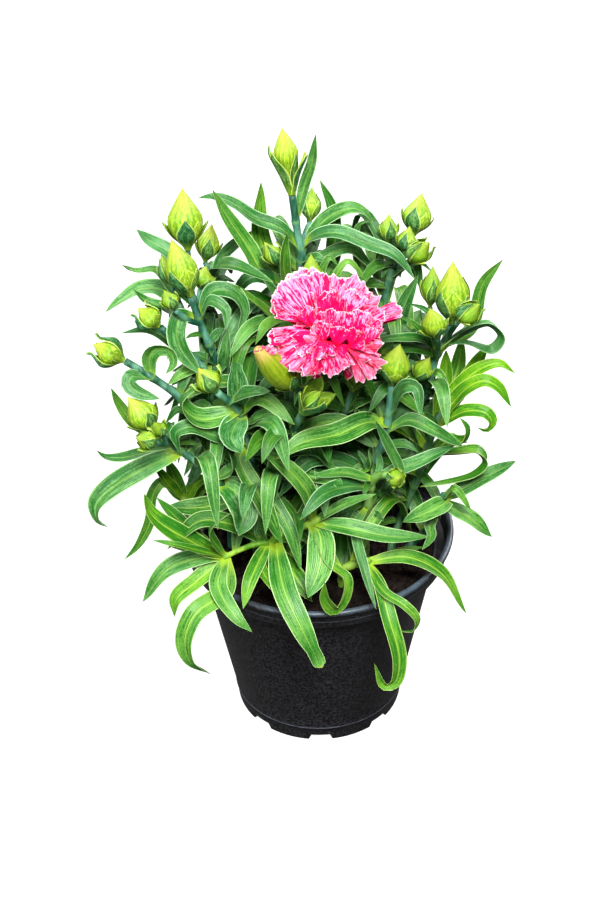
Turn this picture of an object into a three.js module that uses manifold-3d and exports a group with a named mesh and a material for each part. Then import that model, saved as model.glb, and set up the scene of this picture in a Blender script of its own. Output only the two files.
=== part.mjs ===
// A potted carnation (dianthus): leafy stems with ribbon leaves, many closed buds and one open
// double bloom, growing from dark soil in a round black nursery pot.
// Millimetres, +Z up. The origin is the middle of the pot's underside, on the surface it stands on.
// The front of the plant looks along -Y.
import * as THREE from 'three';
import { mergeVertices } from 'three/addons/utils/BufferGeometryUtils.js';
import Module from 'manifold-3d';

const wasm = await Module();
wasm.setup();

// ---------------------------------------------------------------- driving dimensions (mm)
const RIM_RADIUS = 70;            // a 14 cm nursery pot
const RIM_HEIGHT = 110;
const RIM_WIDTH = 3.6;            // rolled lip, outside to inside
const RIM_ROUND = 1.2;
const BAND_HEIGHT = 10.5;         // thicker band under the lip
const BAND_RADIUS = 67.6;
const WALL_TOP_RADIUS = 61.5;
const BASE_RING_RADIUS = 44.5;
const BASE_RING_HEIGHT = 9.5;
const FOOT_RADIUS = 43.5;
const WALL = 1.8;
const FLOOR_UNDERSIDE = 5;
const PAD_RADIUS = 10;            // middle disc of the floor, which reaches the surface
const NOTCHES = 8;
const NOTCH_WIDTH = 13;
const NOTCH_HEIGHT = 4;
const DRAINS = 4;
const DRAIN_RADIUS = 4;
const DRAIN_CIRCLE = 28;
const POT_SIDES = 24;

const SOIL_TOP = 98;
const SOIL_RELIEF = 1.6;
const HOLE_DEPTH = 14;
const HOLE_RADIUS = 3.8;          // of the holes in the soil that the stems stand in
const GAP = 0.3;                  // kept between neighbouring solids

const STEM_RADIUS = 2.1;
const BRANCH_RADIUS = 1.5;
const STEM_SIDES = 5;
const BLADE_KEEL = 1.3;           // depth of the midrib's keel under the blade
const BLADE_WIDEST = 0.36;        // part of its length at which a blade is widest
const BUD_SIDES = 8;              // twice the number of bracts
const PLAIN_BUD = 10;             // a bud narrower than this has one ring less
const BRACT_LENGTH = 0.42;        // for each mm of the bud's length
const LONG_BLADE = 54;            // a blade from this length on has more facets
const CLEARANCE = 0.4;            // added to a blade all round when it is kept off its neighbours
const BEND_STEP = 3;              // a blade in the way is bent to or from the front by these steps
const BEND_STEPS = 7;
const LEAF_SEED = 777;
const ROOT_STEPS = 60;            // places for roots along a stem, of which the last few are its bud's
const ROOT_LAST = 57;
const STEM_STEPS = 7;
const BRANCH_STEPS = 3;
const FILL_PAIRS = 3;             // pairs of inner leaves on each shoot
const FILL_SPAN = [0.2, 0.9];     // part of the stem that they spring from
const FILL_MIDDLE = [152, 192];   // inner foliage ends inside this ellipse of the sheet
const FILL_REACH = [74, 84];
const REAR_PAIRS = 4;
const REAR_SPAN = [0.25, 1.07];
const REAR_SHOOTS = {             // leafy shoots at the back: root (x, y) and top (x, y, z)
  'shoot_rear_left': [[-32, 34], [-42, 66, 196]],
  'shoot_rear_middle': [[2, 46], [4, 80, 205]],
  'shoot_rear_right': [[36, 30], [50, 60, 190]],
};

// ---------------------------------------------------------------- the leaning drawing sheet
// The plant is laid out on a drawing sheet 300 mm wide and 450 mm high that leans back through
// the pot's axis. A point is given in mm from the sheet's left edge, in mm down from its top edge,
// and by how far it stands behind the pot's axis. It lies on the sight line of that sheet point.
const SHEET_MIDDLE = [150, 225];
const SHEET_CENTRE = new THREE.Vector3(-8, 0, 158);
const SHEET_LEAN = THREE.MathUtils.degToRad(36.5);
const SHEET_TURN = THREE.MathUtils.degToRad(-1.1);
const EYE_DISTANCE = 1100;
const TO_FRONT = new THREE.Vector3(0, -Math.cos(SHEET_LEAN), Math.sin(SHEET_LEAN));
const UP = new THREE.Vector3(0, 0, 1);
const SHEET_UP = new THREE.Vector3(0, Math.sin(SHEET_LEAN), Math.cos(SHEET_LEAN))
  .applyAxisAngle(TO_FRONT, SHEET_TURN);
const SHEET_RIGHT = new THREE.Vector3(1, 0, 0).applyAxisAngle(TO_FRONT, SHEET_TURN);
const FACING = TO_FRONT.clone().multiplyScalar(0.55).addScaledVector(UP, 0.45).normalize();

function seen(x, y, back) {
  const flat = SHEET_RIGHT.clone().multiplyScalar(x - SHEET_MIDDLE[0])
    .addScaledVector(SHEET_UP, SHEET_MIDDLE[1] - y);
  const near = (flat.y - back) / (flat.y / EYE_DISTANCE - TO_FRONT.y);
  return flat.multiplyScalar(1 - near / EYE_DISTANCE).addScaledVector(TO_FRONT, near)
    .add(SHEET_CENTRE);
}

function onSheet(point) {
  const flat = point.clone().sub(SHEET_CENTRE);
  const scale = 1 / (1 - flat.dot(TO_FRONT) / EYE_DISTANCE);
  return [
    SHEET_MIDDLE[0] + flat.dot(SHEET_RIGHT) * scale,
    SHEET_MIDDLE[1] - flat.dot(SHEET_UP) * scale,
  ];
}

// ---------------------------------------------------------------- the plant's layout
// Each shoot: root = where it leaves the soil (x, y); stems = [path, bud], the first one rising from
// the root and the others branching off it, path = x, y, back for each point, and
// bud = [name, tip x, tip y, tip back, width, flare of the bracts];
// leaves = [width, back at the middle, back at the tip, roll in degrees, [x, y, ...], and for a blunt
// leaf the part of its half width that its end keeps].
const SHOOTS = {
  'shoot_top': {
    'root': [2, 22],
    'stems': [
      [[150, 150, 26, 150, 134, 27, 151, 126.5, 28, 149, 117.5, 30, 146, 97.5, 35],
        ['bud_top', 141, 64, 38, 12, 0.5]],
      [[151, 124, 28, 153, 117, 33, 155, 111, 37], ['bud_top_right', 156, 93.5, 41, 9, 0.3]],
    ],
    'leaves': [
      [6.5, 30, 32, 0, [150, 124, 141.5, 114, 127.5, 108.5, 117.5, 101.5, 107.5, 98, 99, 99]],
      [7, 20, 12, 0, [151.5, 125, 156, 118, 167.5, 115.5, 185, 121.5, 197.5, 127, 207.5, 139.5]],
      [7, 34, 36, 0, [152, 122, 162.5, 109, 175, 103.5, 182.5, 105.5, 186.5, 111]],
      [7.5, 34, 38, 0, [151, 150, 165, 132, 166.5, 106, 160, 90]],
      [4.5, 20, 18, 0, [150, 130, 158, 128, 163, 131]],
      [5, 42, 44, 0, [147, 101, 152, 93, 155.5, 82, 158, 67]],
    ],
  },
  'shoot_upper_left': {
    'root': [-26, 12],
    'stems': [
      [[111, 187.5, -2, 102.5, 167.5, 0, 100, 161, 2, 98, 155.5, 4, 95.5, 148.5, 6],
        ['bud_left_front', 85.5, 119.5, 9, 15, 0.2]],
      [[98, 156, 4, 99.5, 150, 12, 100, 145, 19], ['bud_left_inner', 103, 133, 22, 10, 0.4]],
      [[98.5, 157, 4, 105, 150, 32, 105, 138, 42, 102.5, 131, 44], ['bud_left_slim', 106, 112, 47, 11, 0.2]],
      [[98.5, 159, 3, 95, 141, 14, 94, 125, 22], ['bud_left_high', 91, 94, 26, 17, 0.4]],
      [[100, 161, 2, 91.5, 155.5, 10, 86.5, 143.5, 18], ['bud_left_side', 80.5, 127, 22, 8.5, 0.3]],
      [[100.5, 163, 2, 94, 160, -2, 87.5, 155, -4], ['bud_left_small', 82, 145, -4, 7.5, 0.3]],
    ],
    'leaves': [
      [7, 26, 28, 0, [96, 137, 84, 125, 75, 120, 68, 114.5]],
      [4, 32, 30, 0, [89, 150, 77.5, 134.5, 67.5, 135, 61, 132.5]],
      [8, 30, 20, 0, [90, 153, 79, 143.5, 68.5, 144, 60, 149.5, 52.5, 156]],
      [4.5, 8, 8, 0, [92, 158, 80, 152, 72.5, 149.5, 66.5, 144.5]],
      [8.5, -8, -14, 0, [100, 159, 90.5, 158, 88, 167.5, 91, 176, 101, 187.5]],
      [2.5, 8, 10, 0, [100, 160, 106, 147.5, 114.5, 145.5]],
      [7.5, 6, 0, 0, [101, 160, 106, 145, 117.5, 146, 122.5, 155, 119, 167.5]],
      [5.5, -2, -8, 0, [100, 160, 105, 150, 113, 155, 113, 165]],
      [4, 0, -2, 0, [104, 173, 108, 167, 112, 164.5]],
      [6, -10, -10, 0, [110, 190, 112, 180, 114, 165]],
      [5.5, 42, 40, 0, [105.5, 141, 112, 127, 120, 120, 129, 115]],
      [8, 8, 2, 0, [99, 152, 107, 135, 120, 134.5, 136.5, 141]],
    ],
  },
  'shoot_left_mid': {
    'root': [-36, 2],
    'stems': [
      [[112, 215, -6, 104, 188, -6, 86, 169, -4, 80, 163.5, -3], ['bud_left_open', 69, 154, -1, 12, 1]],
    ],
    'leaves': [
      [5, 2, 6, 0, [107, 200, 97.5, 182.5, 87.5, 172.5, 75, 165, 60, 166.5]],
      [5, -8, -12, 0, [100, 183, 92, 186, 84, 192]],
    ],
  },
  'shoot_left_outer': {
    'root': [-44, -6],
    'stems': [
      [[112, 228, -12, 91, 200, -12, 75, 188, -10, 62.5, 180.5, -8], ['bud_outer', 46.5, 172, -6, 13, 1]],
    ],
    'leaves': [
      [7, -14, -18, 50, [75, 188, 74.5, 180, 78, 175.5, 84.5, 176.5, 86.5, 182, 83, 187]],
      [7, -18, -22, 0, [75, 188.5, 66, 187.5, 64, 191.5, 68.5, 196, 80, 199.5]],
    ],
  },
  'shoot_left_star': {
    'root': [-18, -12],
    'stems': [
      [[128, 240, -22, 120, 206, -24, 108.5, 196, -26], ['bud_star', 99, 184, -26, 11, 1]],
    ],
    'leaves': [
      [7.5, -34, -40, 0, [122, 222, 107.5, 217, 95, 213, 87.5, 216.5, 90.5, 227.5]],
      [10, -28, -30, 0, [119, 206, 103, 209, 96, 206.5, 92, 200, 98, 195]],
      [9.5, -24, -20, 0, [120, 206, 119, 195, 118, 181], 0.6],
      [7, -37, -42, 0, [113, 200, 122, 196, 135, 195.5]],
      [12, -38, -46, 0, [120, 206, 116, 217.5, 121, 226.5]],
      [7, -34, -40, 0, [121, 205, 131, 199, 147.5, 212.5]],
      [5, -32, -38, 0, [122, 212, 135, 206.5, 142.5, 212.5]],
      [8, -42, -48, 0, [123, 222, 120, 228, 131, 250, 141.5, 272.5]],
    ],
  },
  'shoot_left_low': {
    'root': [-30, -20],
    'stems': [
      [[125, 265, -28, 110, 241, -30, 90, 225, -28, 77.5, 215.5, -26],
        ['bud_low_left', 64, 198.5, -24, 14, 0.3]],
      [[86, 222, -28, 81, 222, -38, 78, 221, -42], ['bud_low_side', 68, 219, -48, 8.5, 0.8]],
      [[88, 223, -28, 84, 221, -32, 81.5, 218, -35], ['bud_low_inner', 77, 211, -39, 6.5, 0.8]],
    ],
    'leaves': [
      [11, -34, -40, 0, [90, 226, 75, 232, 56.5, 242.5, 47, 252.5, 48.5, 261, 54, 264]],
      [5.5, -20, -18, 0, [88, 224, 75, 225, 60, 228.5, 52.5, 228, 48, 225]],
      [6, -14, -10, 0, [84, 221, 66, 210, 59, 201, 55.5, 194]],
      [9, -30, -30, 0, [116, 252, 100, 253, 83.5, 253.5]],
      [5, -34, -36, 0, [117, 254, 105, 258, 95, 263]],
      [14, -46, -58, 0, [110, 241, 118, 245.5, 122.5, 256, 119.5, 268]],
      [6, -36, -40, 0, [109, 239, 116, 232.5, 114, 226]],
    ],
  },
  'shoot_centre': {
    'root': [-6, -8],
    'stems': [
      [[140, 245, -20, 142.5, 225, -24, 145, 219, -30, 151.5, 206, -45], ['bud_cup', 161, 195, -55, 13, 0.6]],
    ],
    'leaves': [
      [6.5, -42, -54, 0, [140, 235, 135, 245, 145, 265, 150.5, 285]],
      [5.5, -38, -42, 0, [142, 232, 157.5, 238.5, 169, 241, 169.5, 250]],
    ],
  },
  'shoot_bloom': {
    'root': [6, 4],
    'stems': [
      [[160, 225, -12, 160, 206, -19, 158, 195.2, -22.9], null],
      [[159.5, 202, -20, 154, 198, -32, 147, 193, -46], ['bud_opening', 128, 174, -58, 15, 0]],
      [[160, 214, -16, 170, 210, -20, 176, 196, -24], ['bud_right_of_bloom', 179.5, 181, -22, 9, 0.3]],
      [[160, 216, -15, 157, 180, 0, 156, 146, 4], ['bud_behind_bloom', 155.5, 127, 6, 10, 0.2]],
    ],
    'leaves': [
      [3.5, 4, 6, 0, [157, 160, 161, 135, 165, 128.5, 169, 133]],
      [3.5, 4, 6, 0, [157, 165, 170, 134, 174, 130.5, 183, 140]],
      [6.5, -14, -18, 0, [159, 208, 150, 205, 143, 206]],
    ],
  },
  'shoot_right_mid': {
    'root': [22, -10],
    'stems': [
      [[185, 240, -18, 189, 227.5, -20, 193.5, 213.5, -22, 195.5, 192.5, -24],
        ['bud_right_big', 200, 172, -24, 14, 0.2]],
    ],
    'leaves': [
      [11, -40, -50, 0, [193, 212, 185, 210, 170, 216, 150, 221, 138, 229.5]],
      [6.5, -30, -30, 0, [194, 216, 205, 209.5, 217.5, 215, 232, 223.5]],
      [6.5, -36, -44, 0, [194.5, 206, 202, 193, 208, 194, 210.5, 208.5]],
      [4, -10, -8, 0, [190, 225, 180, 207.5, 186.5, 195]],
      [3, -24, -24, 0, [186, 238, 183, 232, 179, 225]],
      [3, -26, -26, 0, [186, 238, 186, 232, 184.5, 225]],
    ],
  },
  'shoot_right_upper': {
    'root': [32, 6],
    'stems': [
      [[201, 225, -2, 210.5, 201, -3, 215, 190, -4, 218, 178.5, -4, 220.5, 174, -4, 226, 162.5, -4],
        ['bud_right_top', 226.5, 130.5, 0, 16, 0.1]],
      [[222, 170, -4, 226, 165, -13, 229, 161, -20], ['bud_right_pointing', 240, 152, -25, 10, 0.7]],
      [[219, 176, -4, 216, 163, 4, 215, 153.5, 7], ['bud_right_back', 216.5, 133, 10, 9.5, 0.2]],
      [[218.5, 180, -4, 219, 174, -13, 218.5, 169, -19], ['bud_right_front', 215, 154, -21, 11, 0.4]],
      [[212, 198, -3, 209, 194, -8, 208, 190.5, -10], ['bud_right_low', 215, 178.5, -12, 8.5, 0.3]],
    ],
    'leaves': [
      [6, 12, 10, 0, [221, 173, 235.5, 164, 241, 143, 251.5, 129.5]],
      [8.5, -8, -16, -50, [219, 176, 227.5, 167.5, 244.5, 160.5, 251.5, 167.5, 246, 174.5, 232.5, 171.5,
        224, 172.5]],
      [4, -10, -14, 0, [214, 192, 218.5, 186, 225, 195]],
      [3, -2, 0, 0, [218, 177, 214, 156, 204, 151.5]],
      [3, -6, -6, 0, [218, 178, 212.5, 167.5, 206, 161, 199, 158]],
      [4.5, -10, -14, 0, [219, 177, 212.5, 170, 200, 168.5, 186, 170.5]],
    ],
  },
  'shoot_back_right': {
    'root': [20, 28],
    'stems': [
      [[186, 195, 22, 190, 165, 24, 192.5, 147.5, 25, 195, 139, 26, 202, 126.5, 28],
        ['bud_rear_small', 205, 113, 30, 9, 0.4]],
      [[198, 134, 27, 204, 125, 38, 206.5, 118, 44], ['bud_rear_high', 211, 96.5, 50, 14, 0.2]],
      [[196, 137, 26, 194.5, 129, 31, 194, 121.5, 34], ['bud_rear_left', 194.5, 107, 36, 8.5, 0.3]],
      [[198, 134, 27, 202, 132.5, 19, 204.5, 130.5, 14], ['bud_rear_right', 214.5, 121, 8, 10, 0.9]],
    ],
    'leaves': [
      [5.5, 30, 34, 0, [190, 165, 180, 131, 178, 118, 180, 112, 186, 110]],
      [3, 12, 10, 0, [195, 139, 201, 134, 210, 131, 216, 136]],
      [8, 14, 14, 0, [190, 176, 196, 172.5, 201, 155, 209, 137.5]],
    ],
  },
  'shoot_back_left': {
    'root': [-14, 30],
    'stems': [
      [[140, 200, 26, 143, 165, 24, 145, 146, 22, 144, 139, 20, 140.5, 133, 20],
        ['bud_rear_tiny', 132, 121, 20, 8, 0.6]],
    ],
    'leaves': [
      [8.5, 36, 40, 0, [144, 150, 135, 130, 130.5, 118, 130.5, 91]],
      [7.5, 28, 30, 0, [144, 146, 131, 135, 125.5, 125, 113.5, 107.5, 106, 94.5]],
      [4, 34, 36, 0, [143, 150, 120, 114, 111.5, 100.5]],
      [5.5, 18, 18, 0, [144, 146, 142.5, 132, 143.5, 116]],
      [4.5, 12, 8, 0, [143, 165, 130, 152, 117.5, 142.5]],
      [5, 16, 14, 0, [144, 152, 136, 144, 130, 135]],
      [8, 4, -4, 0, [143, 168, 141.5, 159, 132, 163.5, 127.5, 172.5]],
      [7, 6, 0, 0, [143, 172, 131, 163, 116.5, 172.5]],
    ],
  },
  'shoot_young': {
    'root': [24, -22],
    'stems': [
      [[184, 252, -28, 187.5, 239, -31, 193, 237.5, -36, 196, 238.5, -38],
        ['bud_end_on', 200, 239.5, -46, 8, 0.7]],
    ],
    'leaves': [
      [5, -34, -36, 0, [189, 239, 200, 237.5, 195, 224, 187.5, 210]],
      [5, -38, -44, 0, [187, 239, 172, 236, 156, 238]],
      [6.5, -32, -28, 0, [188, 239, 210, 230, 227.5, 222.5]],
      [3, -30, -30, 0, [188, 238, 190, 232, 189, 226]],
      [4.5, -54, -72, 0, [184, 252, 178, 264, 182.5, 285, 188, 304.5]],
    ],
  },
  'shoot_creeping': {
    'root': [-16, -28],
    'stems': [
      [[136, 272, -36, 142, 266, -39, 150, 264, -40, 161, 258.5, -40], null],
      [[136, 270, -36, 125, 273, -40, 111, 279, -42], null],
    ],
    'leaves': [
      [8.5, -46, -48, 0, [161, 258.5, 155, 247.5, 145, 235, 130, 224.5]],
      [4.5, -44, -46, 0, [161, 258, 172.5, 251.5, 188, 247]],
      [8, -48, -46, 0, [161, 259, 172.5, 263, 195, 267.5, 214, 268.5]],
      [12.5, -58, -71, 0, [159, 260, 160, 267, 160, 282, 154, 299]],
      [9, -52, -62, 0, [136, 274, 147.5, 287.5, 156, 301]],
      [8, -64, -75, -45, [158, 261, 165, 281, 174, 289, 172.5, 301, 168, 306, 162.5, 300, 162.5, 291]],
      [4.5, -64, -78, 0, [134, 272, 131, 284, 142.5, 300, 151.5, 318.5]],
      [11, -70, -82, 0, [138, 270, 142, 294, 150.5, 313, 161, 334], 0.62],
      [7, -60, -70, 0, [134, 272, 125, 290, 121.5, 304.5]],
      [8, -66, -76, 0, [111, 279, 109, 292.5, 117.5, 307.5, 126, 316]],
      [8, -52, -56, 0, [111.5, 279, 97.5, 290.5, 87.5, 299.5, 87, 309]],
      [9.5, -72, -78, 0, [113, 278, 113, 294, 97, 307, 91.5, 321.5, 95, 332, 105, 337]],
      [9, -44, -46, 0, [112, 279, 102.5, 278, 83.5, 284, 71, 301]],
      [5, -38, -36, 0, [111, 279, 95, 274, 81, 271]],
      [6.5, -34, -30, 0, [112, 278, 105, 274, 90, 260, 78, 248.5]],
      [9.5, -44, -42, 0, [111, 279, 97.5, 271, 77.5, 258, 72, 247]],
      [3.5, -50, -50, 0, [111, 279, 90, 272.5, 76, 270]],
      [4, -50, -50, 0, [112, 278, 106, 265, 116.5, 256]],
    ],
  },
  'shoot_creeping_right': {
    'root': [12, -34],
    'stems': [
      [[172.5, 284, -44, 186, 280, -46], null],
    ],
    'leaves': [
      [7, -44, -46, 0, [186, 280, 203.5, 278, 221.5, 286.5, 233, 306.5]],
      [2.5, -40, -38, 0, [186, 280, 200, 275, 214, 273.5]],
      [7, -80, -85, 0, [186, 280, 189, 290, 195, 310, 200, 330, 197.5, 342, 192.5, 343.5, 187, 331.5]],
      [4.5, -70, -72, 0, [185, 280, 192.5, 296, 202.5, 302.5, 209, 310, 206.5, 316, 201, 315.5]],
    ],
  },
  'shoot_fan_right': {
    'root': [38, -8],
    'stems': [
      [[210, 235, -10, 215, 220, -11, 220, 206, -12], null],
    ],
    'leaves': [
      [6.5, -12, -12, 0, [220, 207, 225, 197.5, 240, 184, 250, 181.5, 257.5, 186.5]],
      [6.5, -18, -20, 0, [220, 208, 232.5, 194, 242.5, 190, 249.5, 193.5, 256, 204]],
      [7.5, 0, 4, 0, [220, 206, 228.5, 185, 231, 168]],
      [8, -4, -2, 0, [220, 206, 233, 190, 244, 172]],
      [7, -8, -8, 0, [220, 206, 222.5, 190, 223, 175]],
      [6.5, -22, -26, 0, [218, 213, 232.5, 205, 243, 206, 246.5, 211, 243.5, 215.5, 238.5, 214]],
      [6, -28, -30, 0, [217, 216, 230.5, 220, 233.5, 213.5, 230, 209]],
      [8.5, -18, -26, -45, [213, 227, 227.5, 225, 239.5, 224.5, 244, 230.5, 237, 238, 210, 243.5]],
    ],
  },
  'shoot_right_low': {
    'root': [44, -16],
    'stems': [
      [[216, 262, -20, 222.5, 246, -22], null],
    ],
    'leaves': [
      [8, -22, -20, 0, [222, 247, 240, 239, 258, 230.5]],
      [9, -34, -40, 0, [222.5, 247, 223.5, 250, 212.5, 256, 201.5, 261]],
      [7.5, -26, -28, 0, [221, 251, 237.5, 260, 246, 268.5]],
      [3.5, -30, -32, 0, [222, 247, 227.5, 244, 236, 256]],
      [5, -40, -48, 0, [217, 258, 215, 262, 215.5, 268.5, 211, 275]],
    ],
  },
  'shoot_left_fan': {
    'root': [-48, 10],
    'stems': [
      [[100, 262, 2, 91, 248, -4], null],
    ],
    'leaves': [
      [5.5, -14, -16, 0, [91, 248, 81, 241, 76, 247.5, 75, 260, 69, 272.5, 62, 280]],
      [6.5, -4, -4, 0, [91, 248, 88, 240, 83, 229]],
      [6, -6, -6, 0, [91, 248, 84, 241, 77, 232]],
      [6.5, -4, 0, 0, [91, 248, 98, 241, 106, 238]],
    ],
  },
};

// The bloom: petals = [tip x, tip y, tip back, width, lift], from the throat of the calyx.
const BLOOM_SHOOT = 'shoot_bloom';
const BLOOM_FOOT = [158, 194.9, -23];
const BLOOM_THROAT = [160.5, 181, -27];
const BLOOM_CALYX_RADIUS = 6.5;
const PETAL_THICKNESS = 1;
const PETAL_RUFFLE = 2.2;
const PETAL_TOOTH = 0.1;
const PETAL_CURL = 0.075;
const PETAL_COLUMNS = 4;
const PETAL_ROWS = [[0, 0.16], [0.55, 0.82], [1, 1]];  // part of its length, part of its width
const BLOOM_CORE_RADIUS = 9;
const CALYX_PROFILE = [[0, 0.4], [0.12, 0.75], [0.4, 1], [0.85, 0.96], [1, 0.8]];
const PETALS = [
  [138, 147, -22, 20, 6], [147, 135, -22, 19, 5], [159, 141, -20, 15, 4], [171, 138.5, -20, 17, 5],
  [184, 144, -22, 17, 5], [199, 154, -26, 15, 4], [192, 166, -32, 16, 4], [190.5, 184, -38, 16, 2],
  [178, 189, -42, 13, 2], [165, 187, -45, 17, 2], [150, 186, -44, 18, 2], [138, 177, -33, 15, 3],
  [134, 165.5, -32, 13, 4], [149, 153, -43, 19, 6], [163, 149, -45, 18, 6], [179, 156, -43, 19, 6],
  [180, 171, -50, 18, 5], [160, 175, -54, 19, 5], [163, 162, -56, 17, 6],
];

const LEAF_COLOURS = [0x5f9e4a, 0x4f9560, 0x66a63e];
const POT_COLOUR = 0x1d1e20;
const SOIL_COLOUR = 0x241812;
const BUD_COLOUR = 0xa9c63e;
const BLOOM_COLOUR = 0xf04f9e;

// ---------------------------------------------------------------- solids and meshes
function closedGeometry(vertices, triangles) {
  const geometry = new THREE.BufferGeometry();
  const numbers = vertices.flatMap((v) => [v.x, v.y, v.z]);
  geometry.setAttribute('position', new THREE.Float32BufferAttribute(numbers, 3));
  geometry.setIndex(triangles);
  return geometry;
}

function solid(geometry) {
  const bare = geometry.clone();
  bare.deleteAttribute('normal');
  bare.deleteAttribute('uv');
  const welded = mergeVertices(bare, 1e-4);
  const corners = welded.index.array;
  const kept = [];
  for (let i = 0; i < corners.length; i += 3) {
    const [a, b, c] = [corners[i], corners[i + 1], corners[i + 2]];
    if (a !== b && b !== c && c !== a) kept.push(a, b, c);
  }
  const made = new wasm.Manifold(new wasm.Mesh({
    numProp: 3,
    vertProperties: new Float32Array(welded.attributes.position.array),
    triVerts: new Uint32Array(kept),
  }));
  if (made.volume() <= 0) throw new Error('a solid is inside out');
  return made;
}

function geometryOf(manifold) {
  const mesh = manifold.getMesh();
  const geometry = new THREE.BufferGeometry();
  geometry.setAttribute('position', new THREE.BufferAttribute(mesh.vertProperties, 3));
  geometry.setIndex(new THREE.BufferAttribute(mesh.triVerts, 1));
  return geometry;
}

function largestBody(manifold) {
  return manifold.decompose().reduce((a, b) => (a.volume() > b.volume() ? a : b));
}

// A closed skin over rings of equally many points, each ring given counter-clockwise as seen from
// the far end. A ring of one point closes that end to a tip. Where `mirrored`, every other facet is
// split the other way, so that a ring's odd points can be notches between its even ones.
function loft(rings, mirrored = false) {
  const vertices = rings.flat();
  const starts = [];
  let start = 0;
  for (const ring of rings) {
    starts.push(start);
    start += ring.length;
  }
  const triangles = [];
  for (let i = 0; i + 1 < rings.length; i += 1) {
    const sides = Math.max(rings[i].length, rings[i + 1].length);
    for (let j = 0; j < sides; j += 1) {
      const k = (j + 1) % sides;
      const a = starts[i] + (rings[i].length > 1 ? j : 0);
      const b = starts[i] + (rings[i].length > 1 ? k : 0);
      const c = starts[i + 1] + (rings[i + 1].length > 1 ? j : 0);
      const d = starts[i + 1] + (rings[i + 1].length > 1 ? k : 0);
      if (mirrored && j % 2 === 1 && a !== b && c !== d) {
        triangles.push(a, b, c, b, d, c);
        continue;
      }
      if (a !== b) triangles.push(a, b, d);
      if (c !== d) triangles.push(a, d, c);
    }
  }
  const last = rings.length - 1;
  for (let j = 1; j + 1 < rings[0].length; j += 1) {
    triangles.push(starts[0], starts[0] + j + 1, starts[0] + j);
  }
  for (let j = 1; j + 1 < rings[last].length; j += 1) {
    triangles.push(starts[last], starts[last] + j, starts[last] + j + 1);
  }
  return closedGeometry(vertices, triangles);
}

function curveThrough(points) {
  return new THREE.CatmullRomCurve3(points, false, 'centripetal');
}

// Directions along a line of points: tangent, and a normal carried along without twist from the
// point `from`, where it is as near as can be to `facing`, turned by `roll` degrees.
function framesAlong(centre, from, facing, roll) {
  const tangents = centre.map((p, i) => centre[Math.min(i + 1, centre.length - 1)].clone()
    .sub(centre[Math.max(i - 1, 0)]).normalize());
  const normals = [];
  const first = facing.clone().addScaledVector(tangents[from], -facing.dot(tangents[from])).normalize();
  normals[from] = first.applyAxisAngle(tangents[from], THREE.MathUtils.degToRad(roll));
  const carry = (a, b) => {
    const turn = new THREE.Quaternion().setFromUnitVectors(tangents[a], tangents[b]);
    normals[b] = normals[a].clone().applyQuaternion(turn);
  };
  for (let i = from; i + 1 < centre.length; i += 1) carry(i, i + 1);
  for (let i = from; i > 0; i -= 1) carry(i, i - 1);
  return { tangents, normals };
}

function roundRing(centre, along, across, radius, sides) {
  const side = new THREE.Vector3().crossVectors(along, across);
  const ring = [];
  for (let j = 0; j < sides; j += 1) {
    const angle = (j / sides) * 2 * Math.PI;
    ring.push(centre.clone().addScaledVector(across, radius * Math.cos(angle))
      .addScaledVector(side, radius * Math.sin(angle)));
  }
  return ring;
}

// ---------------------------------------------------------------- stems
function stemSolid(line, radius, extra = 0) {
  const { tangents, normals } = framesAlong(line, 0, new THREE.Vector3(0, -1, 0.2).normalize(), 0);
  const rings = line.map((p, i) => roundRing(p, tangents[i], normals[i],
    radius * (1.08 - 0.16 * (i / (line.length - 1))) + extra, STEM_SIDES));
  return solid(loft(rings));
}

function rootPoints([x, y]) {
  return [SOIL_TOP - HOLE_DEPTH + 1, SOIL_TOP - 4, SOIL_TOP + 5].map((z) => new THREE.Vector3(x, y, z));
}

// The point of some stems that lies nearest to a sheet point, clear of their bud ends.
function nearestOn(curves, x, y) {
  let best = null;
  for (const curve of curves) {
    for (const p of curve.getSpacedPoints(ROOT_STEPS).slice(0, ROOT_LAST)) {
      const [px, py] = onSheet(p);
      const distance = Math.hypot(px - x, py - y);
      if (!best || distance < best.distance) best = { distance, point: p };
    }
  }
  return best.point;
}

// ---------------------------------------------------------------- leaves
function widthAt(s, blunt) {
  if (s < BLADE_WIDEST) return 0.46 + 0.64 * Math.sin((Math.PI / 2) * (s / BLADE_WIDEST));
  return Math.max(blunt, 1.1 * (1 - ((s - BLADE_WIDEST) / (1 - BLADE_WIDEST)) ** 2.6));
}

// The line of a blade: its root on the stem, then its sheet points, whose depths run smoothly from
// the root's through the middle's to the tip's. `bend` moves the free part to or from the front.
function bladeLine(root, middleBack, tipBack, flat, bend) {
  const sheet = [onSheet(root)];
  for (let i = 2; i < flat.length; i += 2) sheet.push([flat[i], flat[i + 1]]);
  const reach = [0];
  for (let i = 1; i < sheet.length; i += 1) {
    reach.push(reach[i - 1] + Math.hypot(sheet[i][0] - sheet[i - 1][0], sheet[i][1] - sheet[i - 1][1]));
  }
  const points = sheet.map(([x, y], i) => {
    if (i === 0) return root.clone();
    const s = reach[i] / reach[reach.length - 1];
    const back = root.y * (1 - s) * (1 - 2 * s) + middleBack * 4 * s * (1 - s)
      + tipBack * s * (2 * s - 1);
    return seen(x, y, back + bend * Math.min(1, s * 1.6));
  });
  return curveThrough(points);
}

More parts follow.
